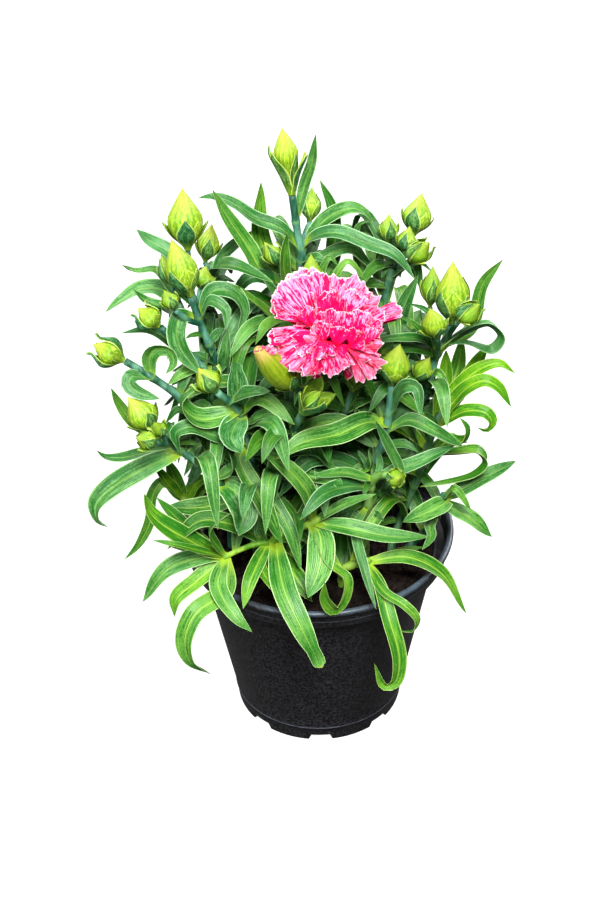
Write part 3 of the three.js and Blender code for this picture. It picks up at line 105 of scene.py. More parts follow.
# ---- the plant's layout
# Each shoot: how far its leaves are from blue-green (0) to yellow-green (1), where it leaves the soil
# as x, y from the pot's axis, its stems and its leaves. The first stem rises from the soil and the
# others branch off the ones before. A stem is its path, as x, y, back for each point, and its bud or
# None. A bud is its name, its tip as x, y, back, its width, how far its bracts lean out, the first
# outer bract's turn from the front in radians, and how high the bracts reach. A leaf is its width, back
# at the middle, back at the tip, roll in degrees, its midrib as x, y for each point, and for a blunt
# leaf the part of its half width that its end keeps.
SHOOTS = {
    "shoot_top": (0.2, (2, 22), [
        ([150, 150, 26, 150, 134, 27, 151, 126.5, 28, 149, 117.5, 30, 146, 97.5, 35],
         ("bud_top", 141, 64, 38, 12, 0.7, 0, 0.66)),
        ([151, 124, 28, 153, 117, 33, 155, 111, 37], ("bud_top_right", 156, 93.5, 41, 9, 0.3, -0.8, 0.84)),
    ], [
        (6.5, 30, 32, 0, [150, 124, 141.5, 114, 127.5, 108.5, 117.5, 101.5, 107.5, 98, 99, 99]),
        (7, 20, 12, 0, [151.5, 125, 156, 118, 167.5, 115.5, 185, 121.5, 197.5, 127, 207.5, 139.5]),
        (7, 34, 36, 0, [152, 122, 162.5, 109, 175, 103.5, 182.5, 105.5, 186.5, 111]),
        (7.5, 34, 38, 0, [151, 150, 165, 132, 166.5, 106, 160, 90]),
        (4.5, 20, 18, 0, [150, 130, 158, 128, 163, 131]),
        (5, 42, 44, 0, [147, 101, 152, 93, 155.5, 82, 158, 67]),
    ]),
    "shoot_upper_left": (0.2, (-26, 12), [
        ([111, 187.5, -2, 102.5, 167.5, 0, 100, 161, 2, 98, 155.5, 4, 95.5, 148.5, 6],
         ("bud_left_front", 85.5, 119.5, 9, 15, 0.2, -0.6, 0.62)),
        ([98, 156, 4, 99.5, 150, 12, 100, 145, 19], ("bud_left_inner", 103, 133, 22, 10, 0.4, 0.5, 0.68)),
        ([98.5, 157, 4, 105, 150, 32, 105, 138, 42, 102.5, 131, 44],
         ("bud_left_slim", 106, 112, 47, 11, 0.2, 0.1, 0.7)),
        ([98.5, 159, 3, 95, 141, 14, 94, 125, 22], ("bud_left_high", 91, 94, 26, 17, 0.25, 0, 0.56)),
        ([100, 161, 2, 91.5, 155.5, 10, 86.5, 143.5, 18],
         ("bud_left_side", 80.5, 127, 22, 8.5, 0.3, 0.45, 0.8)),
        ([100.5, 163, 2, 94, 160, -2, 87.5, 155, -4], ("bud_left_small", 82, 145, -4, 7.5, 0.3, 0.3, 0.85)),
    ], [
        (7, 26, 28, 0, [96, 137, 84, 125, 75, 120, 68, 114.5]),
        (4, 32, 30, 0, [89, 150, 77.5, 134.5, 67.5, 135, 61, 132.5]),
        (8, 30, 20, 0, [90, 153, 79, 143.5, 68.5, 144, 60, 149.5, 52.5, 156]),
        (4.5, 8, 8, 0, [92, 158, 80, 152, 72.5, 149.5, 66.5, 144.5]),
        (8.5, -8, -14, 0, [100, 159, 90.5, 158, 88, 167.5, 91, 176, 101, 187.5]),
        (2.5, 8, 10, 0, [100, 160, 106, 147.5, 114.5, 145.5]),
        (7.5, 6, 0, 0, [101, 160, 106, 145, 117.5, 146, 122.5, 155, 119, 167.5]),
        (5.5, -2, -8, 0, [100, 160, 105, 150, 113, 155, 113, 165]),
        (4, 0, -2, 0, [104, 173, 108, 167, 112, 164.5]),
        (6, -10, -10, 0, [110, 190, 112, 180, 114, 165]),
        (5.5, 42, 40, 0, [105.5, 141, 112, 127, 120, 120, 129, 115]),
        (8, 8, 2, 0, [105, 138, 109, 131.5, 119, 132.5, 136.5, 141]),
    ]),
    "shoot_left_mid": (0.25, (-36, 2), [
        ([112, 215, -6, 104, 188, -6, 86, 169, -4, 80, 163.5, -3],
         ("bud_left_open", 69, 154, -1, 12, 1, 0.3, 0.95)),
    ], [
        (5, 2, 6, 0, [107, 200, 97.5, 182.5, 87.5, 172.5, 75, 165, 60, 166.5]),
        (5, -8, -12, 0, [100, 183, 92, 186, 84, 192]),
    ]),
    "shoot_left_outer": (0.3, (-44, -6), [
        ([112, 228, -12, 91, 200, -12, 75, 188, -10, 62.5, 180.5, -8],
         ("bud_outer", 46.5, 172, -6, 13, 1, 0.1, 0.98)),
    ], [
        (7, -14, -18, 50, [75, 188, 74.5, 180, 78, 175.5, 84.5, 176.5, 86.5, 182, 83, 187]),
        (7, -18, -22, 0, [75, 188.5, 66, 187.5, 64, 191.5, 68.5, 196, 80, 199.5]),
    ]),
    "shoot_left_star": (0.3, (-18, -12), [
        ([128, 240, -22, 120, 206, -24, 108.5, 196, -26], ("bud_star", 99, 184, -26, 11, 1, 0.2, 0.9)),
    ], [
        (7.5, -34, -40, 0, [122, 222, 107.5, 217, 95, 213, 87.5, 216.5, 90.5, 227.5]),
        (10, -28, -30, 0, [119, 206, 103, 209, 96, 206.5, 92, 200, 98, 195]),
        (9.5, -24, -20, 0, [120, 206, 119, 195, 118, 181], 0.6),
        (7, -37, -42, 0, [113, 200, 122, 196, 135, 195.5]),
        (12, -38, -46, 0, [120, 206, 116, 217.5, 121, 226.5]),
        (7, -34, -40, 0, [121, 205, 131, 199, 147.5, 212.5]),
        (5, -32, -38, 0, [122, 212, 135, 206.5, 142.5, 212.5]),
        (8, -42, -48, 0, [123, 222, 120, 228, 131, 250, 141.5, 272.5]),
    ]),
    "shoot_left_low": (0.4, (-30, -20), [
        ([125, 265, -28, 110, 241, -30, 90, 225, -28, 77.5, 215.5, -26],
         ("bud_low_left", 64, 198.5, -24, 14, 0.3, 0.5, 0.62)),
        ([86, 222, -28, 81, 222, -38, 78, 221, -42], ("bud_low_side", 68, 219, -48, 8.5, 0.8, 0.2, 0.85)),
        ([88, 223, -28, 84, 221, -32, 81.5, 218, -35], ("bud_low_inner", 77, 211, -39, 6.5, 0.8, 0.6, 0.8)),
    ], [
        (11, -34, -40, 0, [90, 226, 75, 232, 56.5, 242.5, 47, 252.5, 48.5, 261, 54, 264]),
        (5.5, -20, -18, 0, [88, 224, 75, 225, 60, 228.5, 52.5, 228, 48, 225]),
        (6, -14, -10, 0, [84, 221, 66, 210, 59, 201, 55.5, 194]),
        (9, -30, -30, 0, [116, 252, 100, 253, 83.5, 253.5]),
        (5, -34, -36, 0, [117, 254, 105, 258, 95, 263]),
        (14, -46, -58, 0, [110, 241, 118, 245.5, 122.5, 256, 119.5, 268]),
        (6, -36, -40, 0, [109, 239, 116, 232.5, 114, 226]),
    ]),
    "shoot_centre": (0.4, (-6, -8), [
        ([140, 245, -20, 142.5, 225, -24, 145, 219, -30, 151.5, 206, -45],
         ("bud_cup", 161, 195, -55, 13, 0.5, 0.5, 1.0)),
    ], [
        (6.5, -42, -54, 0, [140, 235, 135, 245, 145, 265, 150.5, 285]),
        (5.5, -38, -42, 0, [142, 232, 157.5, 238.5, 169, 241, 169.5, 250]),
    ]),
    "shoot_bloom": (0.4, (6, 4), [
        ([160, 225, -12, 160, 206, -19, 158, 195.2, -22.9], None),
        ([159.5, 202, -20, 154, 198, -32, 147, 193, -46], ("bud_opening", 128, 174, -58, 15, 0, 0.5, 0.34)),
        ([160, 214, -16, 170, 210, -20, 176, 196, -24],
         ("bud_right_of_bloom", 179.5, 181, -22, 9, 0.3, 0.9, 0.62)),
        ([160, 216, -15, 157, 180, 0, 156, 146, 4], ("bud_behind_bloom", 155.5, 127, 6, 10, 0.2, 0.4, 0.5)),
    ], [
        (3.5, 4, 6, 0, [157, 160, 161, 135, 165, 128.5, 169, 133]),
        (3.5, 4, 6, 0, [157, 165, 170, 134, 174, 130.5, 183, 140]),
        (6.5, -14, -18, 0, [159, 208, 150, 205, 143, 206]),
    ]),
    "shoot_right_mid": (0.2, (22, -10), [
        ([185, 240, -18, 189, 227.5, -20, 193.5, 213.5, -22, 195.5, 192.5, -24],
         ("bud_right_big", 200, 172, -24, 14, 0.2, -0.7, 0.52)),
    ], [
        (11, -40, -50, 0, [193, 212, 185, 210, 170, 216, 150, 221, 138, 229.5]),
        (6.5, -30, -30, 0, [194, 216, 205, 209.5, 217.5, 215, 232, 223.5]),
        (6.5, -36, -44, 0, [194.5, 206, 202, 193, 208, 194, 210.5, 208.5]),
        (4, -10, -8, 0, [190, 225, 180, 207.5, 186.5, 195]),
        (3, -24, -24, 0, [186, 238, 183, 232, 179, 225]),
        (3, -26, -26, 0, [186, 238, 186, 232, 184.5, 225]),
    ]),
    "shoot_right_upper": (0.3, (32, 6), [
        ([201, 225, -2, 210.5, 201, -3, 215, 190, -4, 218, 178.5, -4, 220.5, 174, -4, 226, 162.5, -4],
         ("bud_right_top", 226.5, 130.5, 0, 16, 0.1, -0.85, 0.66)),
        ([222, 170, -4, 226, 165, -13, 229, 161, -20],
         ("bud_right_pointing", 240, 152, -25, 10, 0.7, 0.2, 0.9)),
        ([219, 176, -4, 216, 163, 4, 215, 153.5, 7],
         ("bud_right_back", 216.5, 133, 10, 9.5, 0.2, 0.1, 0.76)),
        ([218.5, 180, -4, 219, 174, -13, 218.5, 169, -19],
         ("bud_right_front", 215, 154, -21, 11, 0.5, 0.3, 0.58)),
        ([212, 198, -3, 209, 194, -8, 208, 190.5, -10],
         ("bud_right_low", 215, 178.5, -12, 8.5, 0.3, 0.2, 0.7)),
    ], [
        (6, 12, 10, 0, [221, 173, 235.5, 164, 241, 143, 251.5, 129.5]),
        (8.5, -8, -16, -50, [219, 176, 227.5, 167.5, 244.5, 160.5, 251.5, 167.5, 246, 174.5, 232.5, 171.5,
         224, 172.5]),
        (4, -10, -14, 0, [214, 192, 218.5, 186, 225, 195]),
        (3, -2, 0, 0, [218, 177, 214, 156, 204, 151.5]),
        (3, -6, -6, 0, [218, 178, 212.5, 167.5, 206, 161, 199, 158]),
        (4.5, -10, -14, 0, [219, 177, 212.5, 170, 200, 168.5, 186, 170.5]),
    ]),
    "shoot_back_right": (0.4, (20, 28), [
        ([186, 195, 22, 190, 165, 24, 192.5, 147.5, 25, 195, 139, 26, 202, 126.5, 28],
         ("bud_rear_small", 205, 113, 30, 9, 0.4, -0.3, 0.8)),
        ([198, 134, 27, 204, 125, 38, 206.5, 118, 44],
         ("bud_rear_high", 211, 96.5, 50, 14, 0.1, -0.35, 0.68)),
        ([196, 137, 26, 194.5, 129, 31, 194, 121.5, 34],
         ("bud_rear_left", 194.5, 107, 36, 8.5, 0.3, 0.3, 0.8)),
        ([198, 134, 27, 202, 132.5, 19, 204.5, 130.5, 14],
         ("bud_rear_right", 214.5, 121, 8, 10, 0.9, 0.4, 0.9)),
    ], [
        (5.5, 30, 34, 0, [190, 165, 180, 131, 178, 118, 180, 112, 186, 110]),
        (3, 12, 10, 0, [195, 139, 201, 134, 210, 131, 216, 136]),
        (8, 14, 14, 0, [190, 176, 196, 172.5, 201, 155, 209, 137.5]),
    ]),
    "shoot_back_left": (0.45, (-14, 30), [
        ([140, 200, 26, 143, 165, 24, 145, 146, 22, 144, 139, 20, 140.5, 133, 20],
         ("bud_rear_tiny", 132, 121, 20, 8, 0.6, 0.2, 0.9)),
    ], [
        (8.5, 36, 40, 0, [144, 150, 135, 130, 130.5, 118, 130.5, 91]),
        (7.5, 28, 30, 0, [144, 146, 131, 135, 125.5, 125, 113.5, 107.5, 106, 94.5]),
        (4, 34, 36, 0, [143, 150, 120, 114, 111.5, 100.5]),
        (5.5, 18, 18, 0, [144, 146, 142.5, 132, 143.5, 116]),
        (4.5, 12, 8, 0, [143, 165, 130, 152, 117.5, 142.5]),
        (5, 16, 14, 0, [144, 152, 136, 144, 130, 135]),
        (8, 4, -4, 0, [143, 168, 141.5, 159, 132, 163.5, 127.5, 172.5]),
        (7, 6, 0, 0, [143, 172, 131, 163, 116.5, 172.5]),
    ]),
    "shoot_young": (0.3, (24, -22), [
        ([184, 252, -28, 187.5, 239, -31, 193, 237.5, -36, 196, 238.5, -38],
         ("bud_end_on", 200, 239.5, -46, 8, 0.7, 0.4, 0.8)),
    ], [
        (5, -34, -36, 0, [189, 239, 200, 237.5, 195, 224, 187.5, 210]),
        (5, -38, -44, 0, [187, 239, 172, 236, 156, 238]),
        (6.5, -32, -28, 0, [188, 239, 210, 230, 227.5, 222.5]),
        (3, -30, -30, 0, [188, 238, 190, 232, 189, 226]),
        (4.5, -54, -72, 0, [184, 252, 178, 264, 182.5, 285, 188, 304.5]),
    ]),
    "shoot_creeping": (0.6, (-16, -28), [
        ([136, 272, -36, 142, 266, -39, 150, 264, -40, 161, 258.5, -40], None),
        ([136, 270, -36, 125, 273, -40, 111, 279, -42], None),
    ], [
        (8.5, -46, -48, 0, [161, 258.5, 155, 247.5, 145, 235, 130, 224.5]),
        (4.5, -44, -46, 0, [161, 258, 172.5, 251.5, 188, 247]),
        (8, -48, -46, 0, [161, 259, 172.5, 263, 195, 267.5, 214, 268.5]),
        (12.5, -58, -71, 0, [159, 260, 160, 267, 160, 282, 154, 299]),
        (9, -52, -62, 0, [136, 274, 147.5, 287.5, 156, 301]),
        (8, -64, -75, -45, [158, 261, 165, 281, 174, 289, 172.5, 301, 168, 306, 162.5, 300, 162.5, 291]),
        (4.5, -64, -78, 0, [134, 272, 131, 284, 142.5, 300, 151.5, 318.5]),
        (11, -70, -82, 0, [138, 270, 142, 294, 150.5, 313, 161, 334], 0.62),
        (7, -60, -70, 0, [134, 272, 125, 290, 121.5, 304.5]),
        (8, -66, -76, 0, [111, 279, 109, 292.5, 117.5, 307.5, 126, 316]),
        (8, -52, -56, 0, [111.5, 279, 97.5, 290.5, 87.5, 299.5, 87, 309]),
        (9.5, -72, -78, 0, [113, 278, 113, 294, 97, 307, 91.5, 321.5, 95, 332, 105, 337]),
        (9, -44, -46, 0, [112, 279, 102.5, 278, 83.5, 284, 71, 301]),
        (5, -38, -36, 0, [111, 279, 95, 274, 81, 271]),
        (6.5, -34, -30, 0, [112, 278, 105, 274, 90, 260, 78, 248.5]),
        (9.5, -44, -42, 0, [111, 279, 97.5, 271, 77.5, 258, 72, 247]),
        (3.5, -50, -50, 0, [111, 279, 90, 272.5, 76, 270]),
        (4, -50, -50, 0, [112, 278, 106, 265, 116.5, 256]),
    ]),
    "shoot_creeping_right": (0.65, (12, -34), [
        ([172.5, 284, -44, 186, 280, -46], None),
    ], [
        (7, -44, -46, 0, [186, 280, 203.5, 278, 221.5, 286.5, 233, 306.5]),
        (2.5, -40, -38, 0, [186, 280, 200, 275, 214, 273.5]),
        (7, -80, -85, 0, [186, 280, 189, 290, 195, 310, 200, 330, 197.5, 342, 192.5, 343.5, 187, 331.5]),
        (4.5, -70, -72, 0, [185, 280, 192.5, 296, 202.5, 302.5, 209, 310, 206.5, 316, 201, 315.5]),
    ]),
    "shoot_fan_right": (0.85, (38, -8), [
        ([210, 235, -10, 215, 220, -11, 220, 206, -12], None),
    ], [
        (6.5, -12, -12, 0, [220, 207, 225, 197.5, 240, 184, 250, 181.5, 257.5, 186.5]),
        (6.5, -18, -20, 0, [220, 208, 232.5, 194, 242.5, 190, 249.5, 193.5, 256, 204]),
        (7.5, 0, 4, 0, [220, 206, 228.5, 185, 231, 168]),
        (8, -4, -2, 0, [220, 206, 233, 190, 244, 172]),
        (7, -8, -8, 0, [220, 206, 222.5, 190, 223, 175]),
        (6.5, -22, -26, 0, [218, 213, 232.5, 205, 243, 206, 246.5, 211, 243.5, 215.5, 238.5, 214]),
        (6, -28, -30, 0, [217, 216, 230.5, 220, 233.5, 213.5, 230, 209]),
        (8.5, -18, -26, -45, [213, 227, 227.5, 225, 239.5, 224.5, 244, 230.5, 237, 238, 210, 243.5]),
    ]),
    "shoot_right_low": (0.45, (44, -16), [
        ([216, 262, -20, 222.5, 246, -22], None),
    ], [
        (8, -22, -20, 0, [222, 247, 240, 239, 258, 230.5]),
        (9, -34, -40, 0, [222.5, 247, 223.5, 250, 212.5, 256, 201.5, 261]),
        (7.5, -26, -28, 0, [221, 251, 237.5, 260, 246, 268.5]),
        (3.5, -30, -32, 0, [222, 247, 227.5, 244, 236, 256]),
        (5, -40, -48, 0, [217, 258, 215, 262, 215.5, 268.5, 211, 275]),
    ]),
    "shoot_left_fan": (0.8, (-48, 10), [
        ([100, 262, 2, 91, 248, -4], None),
    ], [
        (5.5, -14, -16, 0, [91, 248, 81, 241, 76, 247.5, 75, 260, 69, 272.5, 62, 280]),
        (6.5, -4, -4, 0, [91, 248, 88, 240, 83, 229]),
        (6, -6, -6, 0, [91, 248, 84, 241, 77, 232]),
        (6.5, -4, 0, 0, [91, 248, 98, 241, 106, 238]),
    ]),
}
# The shoots behind: the same tone and place, and the top of their only stem.
REAR_SHOOTS = {
    "shoot_rear_left": (0.5, (-32, 34), (-42, 66, 196)),
    "shoot_rear_middle": (0.4, (2, 46), (4, 80, 205)),
    "shoot_rear_right": (0.55, (36, 30), (50, 60, 190)),
}


# ---- vectors and curves
def unit(v):
    return v / np.linalg.norm(v)


def turned_about(v, axis, angle):
    return (v * math.cos(angle) + np.cross(axis, v) * math.sin(angle)
            + axis * (axis @ v) * (1 - math.cos(angle)))


TO_FRONT = np.array([0, -math.cos(SHEET_LEAN), math.sin(SHEET_LEAN)])
UP = np.array([0.0, 0.0, 1.0])
SHEET_UP = turned_about(np.array([0, math.sin(SHEET_LEAN), math.cos(SHEET_LEAN)]), TO_FRONT, SHEET_TURN)
SHEET_RIGHT = turned_about(np.array([1.0, 0, 0]), TO_FRONT, SHEET_TURN)
FACING = unit(0.55 * TO_FRONT + 0.45 * UP)


def at_near(x, y, near):
    """The point seen at a place of the sheet that stands `near` mm before the sheet's middle."""
    flat = SHEET_RIGHT * (x - SHEET_MIDDLE[0]) + SHEET_UP * (SHEET_MIDDLE[1] - y)
    return flat * (1 - near / EYE_DISTANCE) + TO_FRONT * near + SHEET_CENTRE


def seen(x, y, back):
    """The point seen at a place of the sheet that stands `back` mm behind the pot's axis."""
    flat = SHEET_RIGHT[1] * (x - SHEET_MIDDLE[0]) + SHEET_UP[1] * (SHEET_MIDDLE[1] - y)
    return at_near(x, y, (flat - back) / (flat / EYE_DISTANCE - TO_FRONT[1]))


def on_sheet(points):
    """The sheet's x and y at which one point or many are seen."""
    flat = np.asarray(points) - SHEET_CENTRE
    scale = 1 / (1 - flat @ TO_FRONT / EYE_DISTANCE)
    return np.array([SHEET_MIDDLE[0] + flat @ SHEET_RIGHT * scale,
                     SHEET_MIDDLE[1] - flat @ SHEET_UP * scale])


def from_middle(point):
    """How far out a point is seen, where 1 is the outline of the plant's leafy middle."""
    x, y = on_sheet(point)
    return math.hypot((x - FILL_MIDDLE[0]) / FILL_REACH[0], (y - FILL_MIDDLE[1]) / FILL_REACH[1])


class Line:
    """A centripetal Catmull-Rom curve, read by the part of its length."""

    def __init__(self, points):
        self.points = np.array(points, float)
        p = self.points
        self.held = np.vstack([2 * p[0] - p[1], p, 2 * p[-1] - p[-2]])
        self.ticks = np.linspace(0, 1, 201)
        steps = np.diff(self.at_tick(self.ticks), axis=0)
        self.reach = np.concatenate([[0], np.cumsum(np.linalg.norm(steps, axis=1))])
        self.length = self.reach[-1]

    def at_tick(self, tick):
        last = len(self.points) - 1
        place = np.atleast_1d(tick) * last
        i = np.minimum(place.astype(int), last - 1)
        w = (place - i)[:, None]
        a, b, c, d = (self.held[i + k] for k in range(4))
        gaps = [np.sqrt(np.linalg.norm(q - p, axis=1))[:, None] for p, q in ((a, b), (b, c), (c, d))]
        before, own, after = gaps
        start = ((b - a) / before - (c - a) / (before + own) + (c - b) / own) * own
        end = ((c - b) / own - (d - b) / (own + after) + (d - c) / after) * own
        return (b + start * w + (-3 * b + 3 * c - 2 * start - end) * w ** 2
                + (2 * b - 2 * c + start + end) * w ** 3)

    def at(self, part):
        return self.at_tick(np.interp(np.atleast_1d(part) * self.length, self.reach, self.ticks))

    def spaced(self, steps):
        return self.at(np.linspace(0, 1, steps + 1))


def frames_along(points, start, facing, roll):
    """Tangents, and normals carried along without twist from the point `start`."""
    count = len(points)
    tangents = np.array([unit(points[min(i + 1, count - 1)] - points[max(i - 1, 0)]) for i in range(count)])
    normals = np.zeros_like(tangents)
    first = unit(facing - tangents[start] * (facing @ tangents[start]))
    normals[start] = turned_about(first, tangents[start], math.radians(roll))

    def carry(a, b):
        axis = np.cross(tangents[a], tangents[b])
        n = normals[a]
        turn = np.cross(axis, n)
        normals[b] = n + turn + np.cross(axis, turn) / (1 + tangents[a] @ tangents[b])

    for i in range(start, count - 1):
        carry(i, i + 1)
    for i in range(start, 0, -1):
        carry(i, i - 1)
    return tangents, normals


def smooth(x, low, high):
    """Rises softly from 0 to 1 between two numbers."""
    t = np.clip((np.asarray(x, float) - low) / (high - low), 0, 1)
    return t * t * (3 - 2 * t)


def read(profile, place):
    """A profile's value at some places."""
    return np.interp(place, profile[:, 0], profile[:, 1])


def angles(count):
    return np.linspace(0, 2 * math.pi, count, endpoint=False)


def spun(first, second, angle):
    """Directions that are turned by some angles from one axis toward another."""
    return first * np.cos(angle)[..., None] + second * np.sin(angle)[..., None]


# ---- meshes
def facts_of(*numbers):
    """Four plain numbers for each point of a grid, from arrays or single numbers."""
    return np.stack(np.broadcast_arrays(*numbers), axis=-1)


class Skin:
    """Grids of points gathered into one mesh, each point with four plain numbers for its material."""

    def __init__(self):
        self.points, self.facts, self.faces, self.slots = [], [], [], []
        self.count = 0

    def grid(self, points, facts, slot=0, closed=False, flip=False):
        rows, columns = points.shape[:2]
        at = self.count + np.arange(rows * columns).reshape(rows, columns)
        right = np.roll(at, -1, axis=1) if closed else at[:, 1:]
        left = at if closed else at[:, :-1]
        quads = np.stack([left[:-1], right[:-1], right[1:], left[1:]], axis=-1).reshape(-1, 4)
        if flip:
            quads = quads[:, ::-1]
        self.points.append(points.reshape(-1, 3))
        self.facts.append(np.broadcast_to(facts, (rows, columns, 4)).reshape(-1, 4))
        self.faces.append(quads)
        self.slots.append(np.full(len(quads), slot))
        self.count += rows * columns

    def take(self, other):
        """Adds what another skin holds."""
        self.points += other.points
        self.facts += other.facts
        self.faces += [faces + self.count for faces in other.faces]
        self.slots += other.slots
        self.count += other.count

    def mesh(self, name, materials):
        mesh = bpy.data.meshes.new(name)
        points = np.vstack(self.points) * MM
        faces = np.vstack(self.faces)
        mesh.from_pydata(points.tolist(), [], faces.tolist())
        mesh.polygons.foreach_set("material_index", np.concatenate(self.slots).astype(np.int32))
        mesh.polygons.foreach_set("use_smooth", np.ones(len(faces), bool))
        marks = mesh.attributes.new("make", "FLOAT_COLOR", "POINT")
        marks.data.foreach_set("color", np.vstack(self.facts).astype(np.float32).ravel())
        for material in materials:
            mesh.materials.append(material)
        mesh.update()
        return mesh


def piece(skin, materials, node):
    """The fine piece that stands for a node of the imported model."""
    name = node + "_fine"
    thing = bpy.data.objects.new(name, skin.mesh(name, materials))
    bpy.context.scene.collection.objects.link(thing)
    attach(thing, "root")
    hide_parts(node)
    return thing


# ---- materials
def srgb(red, green, blue):
    """A colour named by its 0 to 255 screen values, in the linear values that a shader takes."""
    parts = [c / 255 for c in (red, green, blue)]
    return tuple(c / 12.92 if c <= 0.04045 else ((c + 0.055) / 1.055) ** 2.4 for c in parts) + (1.0,)


# The sockets by which a mix node mixes colours.
MIX_PART, MIX_FIRST, MIX_SECOND, MIX_RESULT = 0, 6, 7, 2


class Value:
    """A node's output, which + - * and abs() carry on into more nodes of its shader."""

    def __init__(self, shader, socket):
        self.shader, self.socket = shader, socket

    def __add__(self, other):
        return self.shader.calc("ADD", self, other)

    def __sub__(self, other):
        return self.shader.calc("SUBTRACT", self, other)

    def __rsub__(self, other):
        return self.shader.calc("SUBTRACT", other, self)

    def __mul__(self, other):
        return self.shader.calc("MULTIPLY", self, other)

    def __abs__(self):
        return self.shader.calc("ABSOLUTE", self)


class Shader:
    """Builds one material's nodes. Each call adds a node and gives back its output."""

    def __init__(self, name, roughness, specular):
        self.material = bpy.data.materials.new(name)
        self.material.use_nodes = True
        self.tree = self.material.node_tree
        self.base = self.tree.nodes["Principled BSDF"]
        self.base.inputs["Roughness"].default_value = roughness
        self.base.inputs["Specular IOR Level"].default_value = specular

    def feed(self, socket, value):
        if isinstance(value, Value):
            self.tree.links.new(value.socket, socket)
        else:
            socket.default_value = value

    def node(self, kind, output, inputs, **settings):
        made = self.tree.nodes.new(kind)
        for key, value in settings.items():
            setattr(made, key, value)
        for key, value in inputs.items():
            self.feed(made.inputs[key], value)
        return Value(self, made.outputs[output])

    def facts(self):
        """The four plain numbers that a skin's points carry."""
        marks = self.tree.nodes.new("ShaderNodeAttribute")
        marks.attribute_name = "make"
        parts = self.tree.nodes.new("ShaderNodeSeparateColor")
        self.tree.links.new(marks.outputs["Color"], parts.inputs["Color"])
        return [Value(self, socket) for socket in (*parts.outputs, marks.outputs["Alpha"])]

    def calc(self, operation, *numbers):
        return self.node("ShaderNodeMath", 0, dict(enumerate(numbers)), operation=operation)

    def sine(self, value):
        return self.calc("SINE", value)

    def step(self, value, low, high, end=1.0, start=0.0):
        """Goes softly from start to end while the value goes from low to high."""
        return self.node("ShaderNodeMapRange", "Result", {
            "Value": value, "From Min": low, "From Max": high, "To Min": start, "To Max": end,
        }, interpolation_type="SMOOTHSTEP")

    def mix(self, part, a, b):
        inputs = {MIX_PART: part, MIX_FIRST: a, MIX_SECOND: b}
        return self.node("ShaderNodeMix", MIX_RESULT, inputs, data_type="RGBA")

    def over(self, colour, *coats):
        """A colour under coats, each given as how far it covers and its own colour."""
        for part, coat in coats:
            colour = self.mix(part, colour, coat)
        return colour

    def place(self, scale=(1, 1, 1)):
        where = self.node("ShaderNodeTexCoord", "Object", {})
        return self.node("ShaderNodeMapping", 0, {"Vector": where, "Scale": scale})

    def joined(self, x, y, z):
        return self.node("ShaderNodeCombineXYZ", 0, {0: x, 1: y, 2: z})

    def noise(self, where, scale, detail, rough=0.5):
        return self.node("ShaderNodeTexNoise", "Fac", {
            "Vector": where, "Scale": scale, "Detail": detail, "Roughness": rough,
        })

    def finish(self, colour, roughness=None, height=None, strength=0.3, depth=0.0003):
        self.feed(self.base.inputs["Base Color"], colour)
        if roughness is not None:
            self.feed(self.base.inputs["Roughness"], roughness)
        if height is not None:
            bump = self.node("ShaderNodeBump", 0, {"Height": height, "Strength": strength, "Distance": depth})
            self.feed(self.base.inputs["Normal"], bump)
        return self.material


def leaf_material():
    """Facts: part of the length, place across from edge to edge, tone, and how far a face is darkened: 1 on
    the underside, and INNER_SHADE on the top of an inner leaf as painted shade.
    """
    s = Shader("leaf", 0.42, 0.3)
    along, across, tone, under = s.facts()
    where = s.place()
    streak = s.noise(s.joined(across * 11.0, along * 2.8, tone), 1.7, 5.0, 0.6)
    mottle = streak * 0.7 + s.noise(where, 850.0, 4.0, 0.65) * 0.3
    off = abs(across - 0.5)
    veins = s.sine(across * 92.0)
    pale = s.step(tone, 0.1, 0.8, 1.0, 0.3)
    colour = s.over(
        s.mix(tone, srgb(0, 76, 12), srgb(16, 98, 0)),
        # Pale streaks over the dark green: partly the leaf's own mottle, partly a painted highlight in place
        # of its sheen.
        (s.step(mottle + s.noise(where, 32.0, 2.0) * 0.4, 0.6, 0.8),
         s.mix(tone, srgb(86, 142, 84), srgb(110, 166, 2))),
        (s.step(s.noise(where, 70.0, 3.0), 0.42, 0.66, 0.5), s.mix(tone, srgb(0, 88, 20), srgb(38, 122, 0))),
        (s.step(off, 0.16, 0.02) * (pale * s.step(along, 1.0, 0.4, 0.24)),
         s.mix(tone, srgb(138, 184, 66), srgb(160, 196, 24))),
        (s.step(off, 0.03, 0.01) * (pale * s.step(along, 1.0, 0.7, 0.62)), srgb(168, 202, 84)),
        (s.step(veins, 0.0, 1.0, 0.07), srgb(176, 214, 150)),
        (s.step(off, 0.45, 0.48, 0.85), s.mix(tone, srgb(178, 216, 168), srgb(192, 216, 112))),
        (s.step(along, 0.16, 0.0, 0.8), srgb(164, 194, 40)),
        (s.step(along, 0.97, 1.0, 0.45), srgb(166, 168, 60)),
        # Darker green on the underside, and on the top of an inner leaf as painted shade.
        (under * 0.55, srgb(8, 72, 0)))
    return s.finish(colour, mottle * 0.3 + 0.22, veins * 0.3 + mottle * 2.0, 0.4)


def stem_material():
    """Facts: part of the length, angle round, tone, and nearness to a joint."""
    s = Shader("stem", 0.48, 0.25)
    _, round_, tone, joint = s.facts()
    bloom = s.noise(s.place((1, 1, 0.35)), 160.0, 5.0, 0.6)
    colour = s.over(
        s.mix(s.step(bloom, 0.38, 0.66), srgb(6, 62, 50), srgb(78, 134, 116)),
        (tone, s.mix(s.step(bloom, 0.35, 0.7), srgb(74, 130, 8), srgb(156, 190, 64))),
        (s.step(joint, 0.6, 1.0, 0.4), srgb(110, 156, 60)))
    return s.finish(colour, bloom * 0.3 + 0.3, s.sine(round_ * 75.0) * 0.25 + bloom, 0.3, 0.0002)


